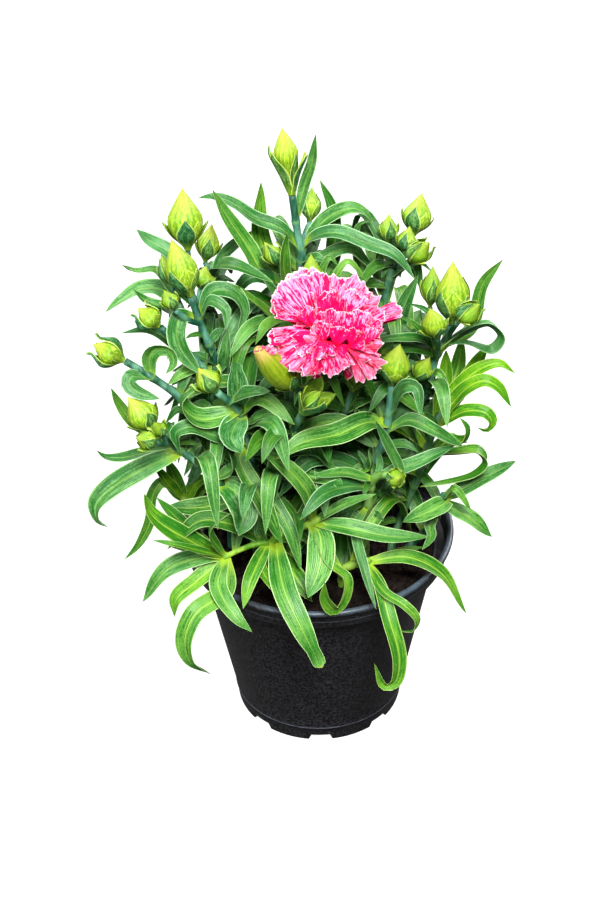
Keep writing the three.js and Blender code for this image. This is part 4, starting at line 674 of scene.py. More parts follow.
def bud_material():
    """Facts: height in the bud, angle round (0 to 1), tone, and how ripe it is."""
    s = Shader("bud", 0.4, 0.3)
    high, round_, tone, ripe = s.facts()
    turns = round_ + s.noise(s.place(), 220.0, 3.0) * 0.03
    ribs = s.sine(turns * 251.3)
    seam = abs(s.sine(turns * 15.708))
    patch = s.noise(s.joined(round_ * 9.0, high, tone), 2.6, 4.0)
    mottle = patch * 0.5 + s.noise(s.place((1, 1, 0.6)), 700.0, 4.0, 0.65) * 0.5
    colour = s.over(
        s.mix(s.step(mottle, 0.38, 0.62), srgb(74, 134, 0), srgb(162, 190, 40)),
        (s.step(high, 0.5, 1.0, 0.7), srgb(186, 190, 66)),
        (tone * 0.55, srgb(66, 138, 10)),
        (s.step(high, 0.5, 0.14, 0.75), srgb(42, 106, 0)),
        (s.step(high, 0.13, 0.06, 0.7), srgb(150, 182, 40)),
        (s.step(ribs, 0.4, 1.0, 0.16), srgb(214, 230, 120)),
        (ripe * 0.6, s.mix(patch, srgb(60, 110, 0), srgb(150, 150, 4))),
        (s.step(high, 0.72, 1.0) * s.step(patch, 0.4, 0.6) * ripe, srgb(236, 176, 120)),
        (s.step(seam, 0.12, 0.02) * s.step(high, 0.5, 0.65) * 0.6, srgb(84, 130, 0)))
    return s.finish(colour, mottle * 0.3 + 0.26, ribs * 0.25 + mottle * 2.0, 0.45)


def bract_material():
    """Facts: part of the length, place across from edge to edge, tone, and 1 on the inner face."""
    s = Shader("bract", 0.45, 0.25)
    along, across, tone, inner = s.facts()
    streak = s.noise(s.joined(across * 10.0, along * 2.0, tone), 1.8, 4.0)
    mottle = s.step(streak * 0.5 + s.noise(s.place(), 800.0, 4.0, 0.65) * 0.5, 0.4, 0.62)
    patch = s.noise(s.joined(across * 2.0, along * 1.5, tone), 2.2, 2.0)
    colour = s.over(
        s.mix(tone, srgb(0, 62, 34), srgb(96, 148, 8)),
        (mottle, s.mix(tone, srgb(76, 140, 92), srgb(176, 204, 62))),
        (s.step(patch, 0.44, 0.56) * (0.85 - tone * 0.6), srgb(6, 78, 24)),
        (s.step(along, 0.35, 0.0, 0.6), srgb(120, 164, 24)),
        (s.step(abs(across - 0.5), 0.4, 0.48, 0.85), srgb(196, 218, 104)),
        (s.step(along, 0.93, 1.0, 0.6), srgb(180, 184, 90)),
        (inner * 0.5, srgb(150, 190, 50)))
    return s.finish(colour, None, s.sine(across * 80.0) * 0.3 + mottle, 0.35, 0.0002)


def petal_material():
    """Facts: part of the length, place across, tone (how much hot pink, which add_petal raises in the
    ruffles' valleys as painted shade and lowers on their crests as painted highlight), and how much salmon.
    """
    s = Shader("petal", 0.6, 0.1)
    along, across, tone, warm = s.facts()
    streak = s.noise(s.joined(across * 4.2, along * 0.9, tone * 3.0), 4.2, 4.0, 0.65)
    fine = s.noise(s.joined(across * 15.0, along * 3.0, tone), 2.4, 3.0, 0.6)
    cloud = s.noise(s.place(), 260.0, 4.0, 0.6)
    level = (streak + tone * 0.3) + (s.step(along, 0.8, 0.1, 0.12) + cloud * 0.3)
    colour = s.over(
        s.mix(s.step(fine, 0.34, 0.6), srgb(232, 88, 148), srgb(244, 150, 182)),
        (s.step(level, 0.735, 0.785), s.mix(s.step(fine, 0.3, 0.7), srgb(218, 0, 60), srgb(234, 2, 98))),
        (s.step(along, 0.34, 0.04, 0.85), srgb(222, 0, 40)),
        (warm * 0.5, srgb(252, 136, 144)),
        (s.step(along, 0.955, 0.99, 0.8), srgb(252, 226, 238)))
    return s.finish(colour, None, fine * 0.8 + streak, 0.6, 0.0005)


def pot_material():
    """Black moulded plastic, scuffed and scratched, with painted highlights along its edge rings and on top
    of the rolled lip.
    """
    s = Shader("pot", 0.5, 0.3)
    where = s.place()
    high = s.node("ShaderNodeSeparateXYZ", "Z", {0: where})
    grain = s.noise(where, 800.0, 3.0, 0.6)
    scuff = s.noise(s.place((1, 1, 0.25)), 90.0, 6.0, 0.7)
    bent = s.node("ShaderNodeTexNoise", "Color", {"Vector": where, "Scale": 60.0})
    warped = s.node("ShaderNodeVectorMath", 0, {0: where, 1: bent}, operation="MULTIPLY")
    cells = s.node("ShaderNodeTexVoronoi", "Distance", {"Vector": warped, "Scale": 110.0},
                   feature="DISTANCE_TO_EDGE")
    scratch = s.step(cells, 0.03, 0.0) * s.step(scuff, 0.56, 0.68)
    # Thin pale lines along three edge rings are painted highlights, broken up where the scuffs lie.
    edge_highlight = 0.0
    for ring, half in ((BASE_RING_HEIGHT + 0.1, 0.5), (RIM_HEIGHT - BAND_HEIGHT - 0.9, 0.6),
                       (RIM_HEIGHT - 7.5, 0.3)):
        edge_highlight = s.calc("MAXIMUM", edge_highlight, s.step(abs(high - ring * MM), half * MM, half * 0.3 * MM))
    # A pale blue-grey painted highlight on top of the rolled lip, broken up by noise.
    lip = (s.step(high, (RIM_HEIGHT - 2.2) * MM, (RIM_HEIGHT - 0.4) * MM)
           * s.step(s.noise(where, 45.0, 4.0), 0.35, 0.65, 0.75, 0.15))
    colour = s.over(
        s.mix(s.step(grain, 0.4, 0.62), srgb(10, 10, 12), srgb(44, 44, 47)),
        (s.step(scuff, 0.6, 0.82, 0.6), srgb(58, 57, 60)),
        (scratch * 0.6, srgb(92, 92, 95)),
        (edge_highlight * s.step(scuff, 0.3, 0.6, 0.9, 0.35), srgb(84, 88, 98)),
        (lip, srgb(74, 90, 102)))
    return s.finish(colour, scuff * 0.4 + 0.16, grain * 0.5 + (scuff - scratch * 0.5), 0.35)


def soil_material():
    """Dark peat crumb with reddish fibres."""
    s = Shader("soil", 0.95, 0.15)
    crumb = s.noise(s.place(), 260.0, 6.0, 0.7)
    fibre = s.noise(s.place((1, 3, 1)), 420.0, 3.0)
    colour = s.over(
        s.mix(s.step(crumb, 0.35, 0.7), srgb(7, 5, 4), srgb(38, 26, 20)),
        (s.step(fibre, 0.68, 0.78, 0.7), srgb(104, 56, 38)))
    return s.finish(colour, None, crumb, 0.9, 0.0015)


LEAF, STEM = leaf_material(), stem_material()
BUD, BRACT, PETAL = bud_material(), bract_material(), petal_material()
POT, SOIL = pot_material(), soil_material()


# ---- the view from the front
CELL = 1.5
CELL_SLACK = 1.0


class FrontView:
    """How near to the viewer the pieces laid one by one stand, over a grid of cells of the sheet."""

    def __init__(self):
        self.near = np.full([int(size / CELL) for size in SHEET_SIZE], -np.inf)

    def cells(self, points):
        points = points.reshape(-1, 3)
        x, y = (np.clip((place / CELL).astype(int), 0, last - 1)
                for place, last in zip(on_sheet(points), self.near.shape))
        return x, y, (points - SHEET_CENTRE) @ TO_FRONT

    def note(self, points):
        x, y, near = self.cells(points)
        np.maximum.at(self.near, (x, y), near)

    def covered(self, points):
        """The part of some points that would stand before what is already laid there."""
        x, y, near = self.cells(points)
        there = self.near[x, y]
        return np.mean(np.isfinite(there) & (near > there - CELL_SLACK))


front = FrontView()

# ---- leaves
INNER_ACROSS = np.array([-1, -0.8, -0.35, 0, 0.35, 0.8, 1])
LEAF_ACROSS = np.array([-1, -0.94, -0.72, -0.4, -0.12, 0, 0.12, 0.4, 0.72, 0.94, 1])
# How long the rows of quads are along a blade, and the fewest and most of them.
INNER_ROWS = (3, 8, 16)
LEAF_ROWS = (1.9, 14, 40)
# How far the top of an inner leaf is darkened toward the underside's green, as painted shade.
INNER_SHADE = 0.95
LOOK_SEED = 20
look = np.random.default_rng(LOOK_SEED)


def draw_look(low, high):
    return look.uniform(low, high)


def width_at(s, blunt):
    """How wide a blade is along its length, against its given width."""
    rise = 0.46 + 0.64 * np.sin(math.pi / 2 * np.minimum(s / BLADE_WIDEST, 1))
    fall = 1.1 * (1 - np.clip((s - BLADE_WIDEST) / (1 - BLADE_WIDEST), 0, 1) ** 3)
    kept = np.maximum(fall, blunt * np.sqrt(np.clip((1 - s) / 0.035, 0, 1)))
    return np.where(s < BLADE_WIDEST, rise, kept)


def blade_line(root, middle_back, tip_back, flat, bend):
    """The midrib of a leaf that is laid on the sheet, bent back by `bend` mm toward its tip."""
    sheet = np.vstack([on_sheet(root), np.array(flat[2:], float).reshape(-1, 2)])
    reach = np.concatenate([[0], np.cumsum(np.linalg.norm(np.diff(sheet, axis=0), axis=1))])
    points = [root]
    for (x, y), run in zip(sheet[1:], reach[1:]):
        s = run / reach[-1]
        back = root[1] * (1 - s) * (1 - 2 * s) + middle_back * 4 * s * (1 - s) + tip_back * s * (2 * s - 1)
        points.append(seen(x, y, back + bend * min(1, s * 1.6)))
    return Line(points)


def arch_line(root, azimuth, length, rise, droop):
    """The midrib of a small leaf that rises from its root and droops again."""
    out = np.array([math.cos(azimuth), math.sin(azimuth), 0])
    arch = [(0, 0), (0.3, 0.3), (0.66, 0.42), (0.98, 0.42 - droop)]
    return Line([root + out * along * length + UP * up * rise * length for along, up in arch])


def add_blade(skin, line, width, roll, tone, blunt=0, inner=False):
    """A leaf: a closed, channelled blade with a groove along its midrib and a keel under it."""
    row, fewest, most = INNER_ROWS if inner else LEAF_ROWS
    rows = int(np.clip(line.length / row, fewest, most))
    u = (INNER_ACROSS if inner else LEAF_ACROSS)[None, :]
    points = line.spaced(rows)
    tangents, normals = frames_along(points, round(rows * 0.4), FACING, roll)
    sides = np.cross(normals, tangents)
    s = np.linspace(0, 1, rows + 1)
    half = np.maximum(width / 2 * width_at(s, blunt), 0.05)[:, None]
    wave = [0.35 * np.sin(s * draw_look(9, 16) + draw_look(0, 6))[:, None] * smooth(s, 0, 0.3)[:, None]
            for _ in range(2)]
    ripple = np.where(u > 0, wave[0], wave[1]) * np.abs(u) ** 2
    depth = np.minimum(1.8, 0.4 * half)
    top = depth * (np.abs(u) ** 1.35 - 1) + ripple - 0.12 * np.exp(-(u / 0.08) ** 2)
    keel = 0.35 * np.exp(-(u / 0.14) ** 2) * (1 - s)[:, None]
    thick = np.minimum(1, half) * (0.18 + 0.5 * (1 - u ** 2) + keel)
    reach = half * u

    def surface(rise):
        return points[:, None] + sides[:, None] * reach[..., None] + normals[:, None] * rise[..., None]

    upper, lower = surface(top), surface(top - thick)
    ring = np.concatenate([upper, lower[:, ::-1]], axis=1)
    place, face = (u + 1) / 2, np.ones_like(u)
    # The fourth fact is 1 on the underside, and INNER_SHADE on the top of an inner leaf, which the leaf's
    # material darkens as painted shade.
    facts = facts_of(s[:, None], np.concatenate([place, place[:, ::-1]], axis=1), tone,
                     np.concatenate([INNER_SHADE * inner * face, face], axis=1))
    skin.grid(ring, facts, closed=True, flip=True)
    return upper


# ---- stems
STEM_SIDES = 14
STEM_SLOT = 1


def add_stem(skin, line, radius, joints, tone, budded):
    """A round stem that swells at its joints. It ends flat under a bud, and otherwise in a dome."""
    rows = max(8, int(line.length / 1.3))
    points = line.spaced(rows)
    tangents, normals = frames_along(points, 0, unit(np.array([0, -1, 0.2])), 0)
    across = np.cross(tangents, normals)
    s = np.linspace(0, 1, rows + 1)
    if budded:
        points[-2], s[-2] = points[-1] + (points[-2] - points[-1]) * 0.05, 1 - 0.05 / rows
    near = np.zeros(rows + 1)
    for joint in joints:
        near = np.maximum(near, np.exp(-((s - joint) * line.length / 1.7) ** 2))
    end = np.clip((1 - s) * line.length / radius, 0, 1) if not budded else np.where(s < 1, 1, 0.1)
    size = radius * (1.08 - 0.16 * s) * (0.94 + 0.22 * near) * np.sqrt(np.maximum(1 - (1 - end) ** 2, 0.001))
    angle = angles(STEM_SIDES)
    ring = points[:, None] + size[:, None, None] * spun(normals[:, None], across[:, None], angle)
    facts = facts_of(s[:, None], np.abs(angle / math.pi - 1), tone, near[:, None])
    skin.grid(ring, facts, STEM_SLOT, closed=True)


# ---- buds
# Profiles of buds: height as a part of the bud's, and reach as a part of half its width.
BUD_PROFILE = np.array([
    (0, 0.2), (0.05, 0.25), (0.1, 0.33), (0.15, 0.46), (0.2, 0.62), (0.27, 0.8), (0.35, 0.92),
    (0.42, 0.985), (0.48, 1.0), (0.54, 0.97), (0.6, 0.88), (0.65, 0.78), (0.7, 0.67), (0.75, 0.56),
    (0.8, 0.45), (0.85, 0.34), (0.9, 0.225), (0.95, 0.11), (1, 0.01),
])
RIPE_PROFILE = np.array([
    (0, 0.3), (0.05, 0.45), (0.12, 0.66), (0.22, 0.84), (0.34, 0.93), (0.46, 0.92), (0.6, 0.83), (0.72, 0.69),
    (0.84, 0.51), (0.93, 0.35), (1, 0.16),
])
FUNNEL_PROFILE = np.array([
    (0, 0.32), (0.1, 0.37), (0.2, 0.46), (0.3, 0.58), (0.4, 0.73), (0.5, 0.88), (0.57, 0.97), (0.63, 1.0),
    (0.7, 0.9), (0.78, 0.7), (0.86, 0.47), (0.93, 0.24), (1, 0.01),
])
CUP_PROFILE = np.array([(0, 0.36), (0.2, 0.5), (0.4, 0.7), (0.6, 0.9), (0.75, 0.96), (0.88, 0.9), (1, 0.7)])
# A bract's outline: the part of its half width along its length.
BRACT_OUTLINE = np.array([(0, 0.9), (0.2, 1), (0.4, 0.95), (0.6, 0.76), (0.8, 0.42), (0.92, 0.17), (1, 0.02)])
# Whorls of bracts, from inside out: turn from the first one's place, half width in radians, part of the
# bud's height they reach (against the tallest), how far they lean out, offset, and tone (1 = pale).
BRACTS = [
    (0.9, 0.95, 0.92, 0.15, 0.22, 0.9), (0.9 + math.pi, 0.95, 0.92, 0.15, 0.22, 0.9),
    (math.pi / 2, 0.66, 0.8, 1.0, 0.45, 0.35), (-math.pi / 2, 0.66, 0.8, 1.0, 0.45, 0.3),
    (0, 0.7, 1.0, 0.4, 0.68, 0), (math.pi, 0.7, 1.0, 0.4, 0.68, 0.15),
]
# The bracts of the topmost bud, which open to a V.
TOP_BRACTS = [
    (1.35, 0.75, 1.02, 0.9, 0.5, 0.9), (-1.7, 0.7, 1.08, 0.8, 0.3, 0.3), (2.8, 0.9, 0.9, 0.4, 0.3, 0.5),
    (0.6, 0.6, 1.0, 0.45, 0.5, 0.15), (1.25, 0.95, 0.84, 1.1, 0.9, 0.05), (-0.95, 1.15, 1.02, 0.5, 0.7, 0),
]
# The bracts of small buds that gape like jaws, with the bud's own body seen between them.
OPEN_BRACTS = [
    (0.3, 0.62, 0.58, 0.5, 0.22, 0.9), (2.3, 0.62, 0.85, 0.5, 0.22, 0.9),
    (-2.1, 0.6, 0.85, 0.6, 0.3, 0.35), (math.pi, 0.6, 1.0, 0.6, 0.6, 0.2),
    (1.3, 0.58, 1.08, 0.8, 0.5, 0.1), (-1.2, 0.58, 1.12, 0.8, 0.5, 0),
]
SMALL_BUD = 10.6
BUD_SIDES = 40
BUD_ROWS = 34
BRACT_SLOT, TUFT_SLOT = 1, 2
BRACT_LOW = 0.05


def add_bud(skin, foot, tip, width, flare, tone, profile, bract_high, first, bracts=BRACTS):
    """A pointed onion of a bud, with the first of its outer bracts turned `first` radians from the front."""
    cup = profile is CUP_PROFILE
    axis = tip - foot
    length = np.linalg.norm(axis)
    axis = axis / length
    across = unit(np.array([0, -1, 0.3]) + axis * (axis[1] - 0.3 * axis[2]))
    side = np.cross(axis, across)

    def around(reach, at, rise):
        return foot + axis * (rise * length)[..., None] + reach[..., None] * spun(across, side, at)

    h = np.concatenate([[0, 0.004], np.linspace(0.03, 1, BUD_ROWS - 1)])[:, None]
    angle = angles(BUD_SIDES)
    groove = 0.07 * np.exp(-(np.sin(2.5 * angle) / 0.25) ** 2) * smooth(h, 0.5, 0.8)
    size = width / 2 * (read(profile, h) * (1 - 0.6 * cup)) * (1 - groove + 0.015 * np.cos(5 * angle))
    size[0] = size[-1] = 0.2
    twist = 0.35 * smooth(h, 0.55, 1)
    body = around(size, angle + twist, np.broadcast_to(h * (1 - 0.5 * cup), size.shape))
    ripe = float(profile is RIPE_PROFILE)
    skin.grid(body, facts_of(h, np.abs(angle / math.pi - 1), tone, ripe), closed=True)
    front.note(body)
    s = np.linspace(0, 1, 19)[:, None]
    u = np.linspace(-1, 1, 11)[None, :]
    for turn, half_angle, part, leaning, stand_off, pale in bracts:
        high = bract_high * part * draw_look(0.92, 1.08)
        rise = BRACT_LOW + s * (high - BRACT_LOW) * np.ones_like(u)
        spread = (half_angle + 0.25 * cup) * read(BRACT_OUTLINE, s) * (1 + 0.5 * (1 - smooth(s, 0, 0.25)))
        lean = leaning * (0.06 + 0.75 * flare) * s ** 1.7
        middle = first + turn + 0.1 * draw_look(-1, 1) * s
        crease = 0.16 * np.exp(-(u / 0.2) ** 2) * s
        greener = draw_look(0, 0.3) + 0.1 * (width < SMALL_BUD)
        hug = np.maximum(read(profile, rise), 0.2)
        for face in (0, 1):
            offset = stand_off + crease + (0.16 - 0.32 * face) * (1 - u ** 2)
            reach = width / 2 * (hug + lean * (1 - 0.35 * u ** 2)) + offset * np.minimum(1, 0.4 + 3 * s)
            skin.grid(around(reach, middle + spread * u, rise),
                      facts_of(s, (u + 1) / 2, min(1, pale + greener), face), BRACT_SLOT, flip=bool(face))
    return foot, axis, length


def add_petal_tuft(skin, root, axis, reach):
    """The first petals' edges, showing on one side of the tip of a bud that is just opening."""
    for i in range(5):
        out = unit(axis + SHEET_RIGHT * (0.4 * i - 0.1) + TO_FRONT * (0.35 - 0.15 * i))
        tip = root + out * reach * draw_look(0.85, 1.1)
        add_petal(skin, root, TO_FRONT, tip, reach * 0.7, 0.3, i * 1.7, 0.3, 0.2, 0.45, TUFT_SLOT)


PETAL_ROWS = np.array([(0, 0.16), (0.55, 0.82), (1, 1)])
PETAL_RUFFLE = 2.6
PETAL_CURL = 0.075
TOOTH_WIDTH = 1.3
TOOTH_DEPTH = 0.8
STREAK_WIDTH = 18


def add_petal(skin, root, axis, tip, width, lift, turn, tone, ruffle=1.0, warm=0.0, slot=0):
    """A claw that widens to a fan, ruffled more and more toward its toothed outer edge."""
    line = Line([root, (root + tip) / 2 + axis * lift, tip])
    across = unit(np.cross(axis, tip - root))
    rows, columns = 14, int(np.clip(width * 3, 16, 80))
    u = np.linspace(-1, 1, columns + 1)[None, :]
    s = np.linspace(0, 1, rows + 1)[:, None]
    place = u * width / 2
    saw = np.abs((place / TOOTH_WIDTH + turn) % 1 - 0.5) * 2
    teeth = TOOTH_DEPTH * (saw - 0.5 + 0.6 * np.sin(place * 1.1 + turn * 5)) / line.length
    bow = min(0.3, 0.17 * width / line.length)
    reach = np.clip(s * (1 - bow * u ** 2 * s + teeth * smooth(s, 0.6, 1)), 0, 1)
    centre = line.at(reach.ravel()).reshape(rows + 1, columns + 1, 3)
    ahead = line.at(np.clip(reach.ravel() + 0.02, 0, 1)).reshape(centre.shape)
    behind = line.at(np.clip(reach.ravel() - 0.02, 0, 1)).reshape(centre.shape)
    normal = np.cross(ahead - behind, across)
    normal /= np.linalg.norm(normal, axis=-1)[..., None]
    wide = read(PETAL_ROWS, s)
    wave = (PETAL_RUFFLE * ruffle * s ** 2 * np.sin(u * 4.2 + turn) - PETAL_CURL * width * u ** 2 * s
            + 1.5 * ruffle * smooth(s, 0.3, 1) * np.sin(place * 1.15 + turn * 3 + s * 2)
            + 0.45 * smooth(s, 0.65, 1) * np.sin(place * 2.7 + turn * 7 + s))
    points = centre + across * (place * wide)[..., None] + normal * wave[..., None]
    # The tone rises where a ruffle dips and falls where it rises: painted shade in the folds and painted
    # highlight on the crests.
    skin.grid(points, facts_of(s, place / STREAK_WIDTH + turn, tone - 0.1 * wave, warm), slot)
    front.note(points)


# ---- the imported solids
class Corners:
    """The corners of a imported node's mesh, which tell which way the node's leaves were bent."""

    def __init__(self, name):
        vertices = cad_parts[name].data.vertices
        self.tree = kdtree.KDTree(len(vertices))
        for vertex in vertices:
            self.tree.insert(vertex.co, vertex.index)
        self.tree.balance()

    def off(self, point):
        return self.tree.find(point * MM)[2] / MM


def fitted(corners, line_for):
    """The bent leaf line whose tip is nearest to a corner, or none if no corner is near."""
    best, least = None, BEND_MATCH
    for i in range(2 * BEND_STEPS + 1):
        line = line_for(BEND_STEP * math.ceil(i / 2) * (-1 if i % 2 else 1))
        off = corners.off(line.points[-1])
        if off < least:
            best, least = line, off
    return best


class Draws:
    """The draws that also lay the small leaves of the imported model."""

    def __init__(self, seed):
        self.state = seed

    def __call__(self, low, high):
        self.state = self.state * 16807 % 2147483647
        return low + (high - low) * self.state / 2147483647


def root_points(place):
    """The first points of a stem, straight up out of its hole in the soil."""
    return [np.array([*place, z], float) for z in (SOIL_TOP - HOLE_DEPTH + 1, SOIL_TOP - 4, SOIL_TOP + 5)]


def nearest_on(curves, x, y):
    """The point of some stems that lies nearest to a sheet point, with its curve and its part of it."""
    best = None
    for k, curve in enumerate(curves):
        for i, point in enumerate(curve.spaced(ROOT_STEPS)[:ROOT_LAST]):
            distance = math.dist(on_sheet(point), (x, y))
            if best is None or distance < best[0]:
                best = (distance, point, k, i / ROOT_STEPS)
    return best[1:]


# Stems that are not blue-green but pale yellow-green.
STEM_TONES = {"shoot_creeping": 0.95, "shoot_creeping_right": 0.9, "shoot_left_fan": 0.9, "shoot_young": 0.6}


class Shoot:
    """A leafy shoot as it is gathered: its stems' curves, their joints, and its skin."""

    def __init__(self, name, tone):
        self.name, self.tone = name, tone
        self.corners = Corners(name)
        self.curves, self.radii, self.joints, self.budded = [], [], [], []
        self.skin = Skin()

    def stem(self, points, radius, budded=False):
        self.curves.append(Line(points))
        self.radii.append(radius)
        self.budded.append(budded)
        self.joints.append([])
        return self.curves[-1]

    def laid_stems(self, place, stems):
        """Lays the stems, and gives back each bud's name, foot and tip and what else is said of it."""
        buds = []
        for flat, bud in stems:
            main = not self.curves
            points = root_points(place) if main else [nearest_on(self.curves, *flat[:2])[0]]
            points += [seen(*flat[i:i + 3]) for i in range(0 if main else 3, len(flat), 3)]
            end = self.stem(points, STEM_RADIUS if main else BRANCH_RADIUS, bool(bud)).points[-1]
            if bud:
                tip = seen(*bud[1:4])
                buds.append((bud[0], end + unit(tip - end) * GAP, tip, *bud[4:]))
        return buds

    def leaf_tone(self):
        return float(np.clip(self.tone + draw_look(-0.28, 0.28), 0, 1))

    def laid_leaf(self, width, middle_back, tip_back, roll, flat, *blunt):
        root, k, part = nearest_on(self.curves, *flat[:2])
        self.joints[k].append(part)

        def line_for(bend):
            return blade_line(root, middle_back, tip_back, flat, bend)

        line = fitted(self.corners, line_for) or line_for(0)
        front.note(add_blade(self.skin, line, width, roll, self.leaf_tone(), *blunt))

    def drawn_leaf(self, part, azimuth):
        """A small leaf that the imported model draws, if it lies in the plant's middle."""
        root = self.curves[0].at(part)[0]
        length, width = draw(36, 54), draw(6, 8.5)
        rise, droop = draw(0.6, 1.2), draw(0.2, 0.6)

        def line_for(bend):
            return arch_line(root, azimuth + bend * BEND_TURN, length, rise, droop)

        line = fitted(self.corners, line_for) if from_middle(line_for(0).points[-1]) < 1 else None
        if line:
            self.joints[0].append(part)
            add_blade(self.skin, line, width, 0, self.leaf_tone())

    def drawn_leaves(self, pairs, low, high):
        first = draw(0, math.pi)
        for i in range(pairs):
            for half in (0, math.pi):
                azimuth = first + i * math.pi / 2 + half + draw(-0.3, 0.3)
                self.drawn_leaf(low + (high - low) * (i + 0.5) / pairs, azimuth)

    def finish(self):
        tone = STEM_TONES.get(self.name, 0.3 * self.tone)
        for curve, radius, joints, budded in zip(self.curves, self.radii, self.joints, self.budded):
            add_stem(self.skin, curve, radius, joints, tone, budded)
        piece(self.skin, [LEAF, STEM], self.name)


BUD_BRACTS = {"bud_top": TOP_BRACTS} | dict.fromkeys(
    ("bud_outer", "bud_left_open", "bud_left_side", "bud_rear_right", "bud_end_on", "bud_right_pointing"),
    OPEN_BRACTS)
BUD_PROFILES = {"bud_opening": RIPE_PROFILE, "bud_cup": CUP_PROFILE, "bud_top": FUNNEL_PROFILE}


def add_bud_piece(name, foot, tip, width, flare, first, high):
    skin = Skin()
    greener = draw_look(0.5, 1) if width < SMALL_BUD else draw_look(0, 0.35)
    foot, axis, length = add_bud(skin, foot, tip, width, flare, greener, BUD_PROFILES.get(name, BUD_PROFILE),
                                 high, first, BUD_BRACTS.get(name, BRACTS))
    if name == "bud_cup":
        inner_tip = foot + axis * length * 0.96
        add_bud(skin, foot + axis * 2, inner_tip, width * 0.62, 0.5, 1, BUD_PROFILE, 0.95, 0.2)
    if name == "bud_opening":
        add_petal_tuft(skin, foot + axis * length * 0.84 + SHEET_RIGHT * width * 0.04, axis, width * 0.42)
    piece(skin, [BUD, BRACT, PETAL], name)


draw = Draws(LEAF_SEED)
laid = {name: Shoot(name, plan[0]) for name, plan in SHOOTS.items()}
rear = {name: Shoot(name, plan[0]) for name, plan in REAR_SHOOTS.items()}
buds = []
for name, shoot in laid.items():
    _, place, stems, _ = SHOOTS[name]
    buds += shoot.laid_stems(place, stems)
for name, shoot in rear.items():
    _, place, top = REAR_SHOOTS[name]
    shoot.stem([*root_points(place), np.array(top, float)], STEM_RADIUS)
for name, shoot in laid.items():
    for leaf in SHOOTS[name][-1]:
        shoot.laid_leaf(*leaf)
for shoot in laid.values():
    shoot.drawn_leaves(FILL_PAIRS, *FILL_SPAN)
for shoot in rear.values():
    shoot.drawn_leaves(REAR_PAIRS, *REAR_SPAN)
for bud in buds:
    add_bud_piece(*bud)

# ---- the open bloom
BLOOM_FOOT = (158, 194.9, -23)
BLOOM_THROAT = (160.5, 181, -27)
BLOOM_CALYX_RADIUS = 6.5
BLOOM_CORE_RADIUS = 9
CALYX_PROFILE = np.array([(0, 0.35), (0.06, 0.6), (0.15, 0.8), (0.4, 1), (0.85, 0.97), (1, 1.02)])
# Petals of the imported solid: tips as x, y, back, then width and lift. The first ones are the outer ones.
PETALS = [
    (138, 147, -22, 20, 6), (147, 135, -22, 19, 5), (159, 141, -20, 15, 4), (171, 138.5, -20, 17, 5),
    (184, 144, -22, 17, 5), (199, 154, -26, 9, 3), (189.5, 166, -33, 13, 3), (189, 183, -39, 9, 2),
    (179, 187, -42, 8, 2), (165, 187, -45, 17, 2), (150, 186, -44, 18, 2), (138, 177, -33, 15, 3),
    (134, 168.5, -33, 9, 3), (149, 153, -43, 19, 6), (163, 149, -45, 18, 6), (179, 156, -43, 19, 6),
    (180, 171, -50, 18, 5), (160, 175, -54, 19, 5), (163, 162, -56, 17, 6),
]
OUTER_PETALS = 13
INNER_REACH = 0.8
HEART_PETALS = 26
GOLDEN_TURN = 2.4
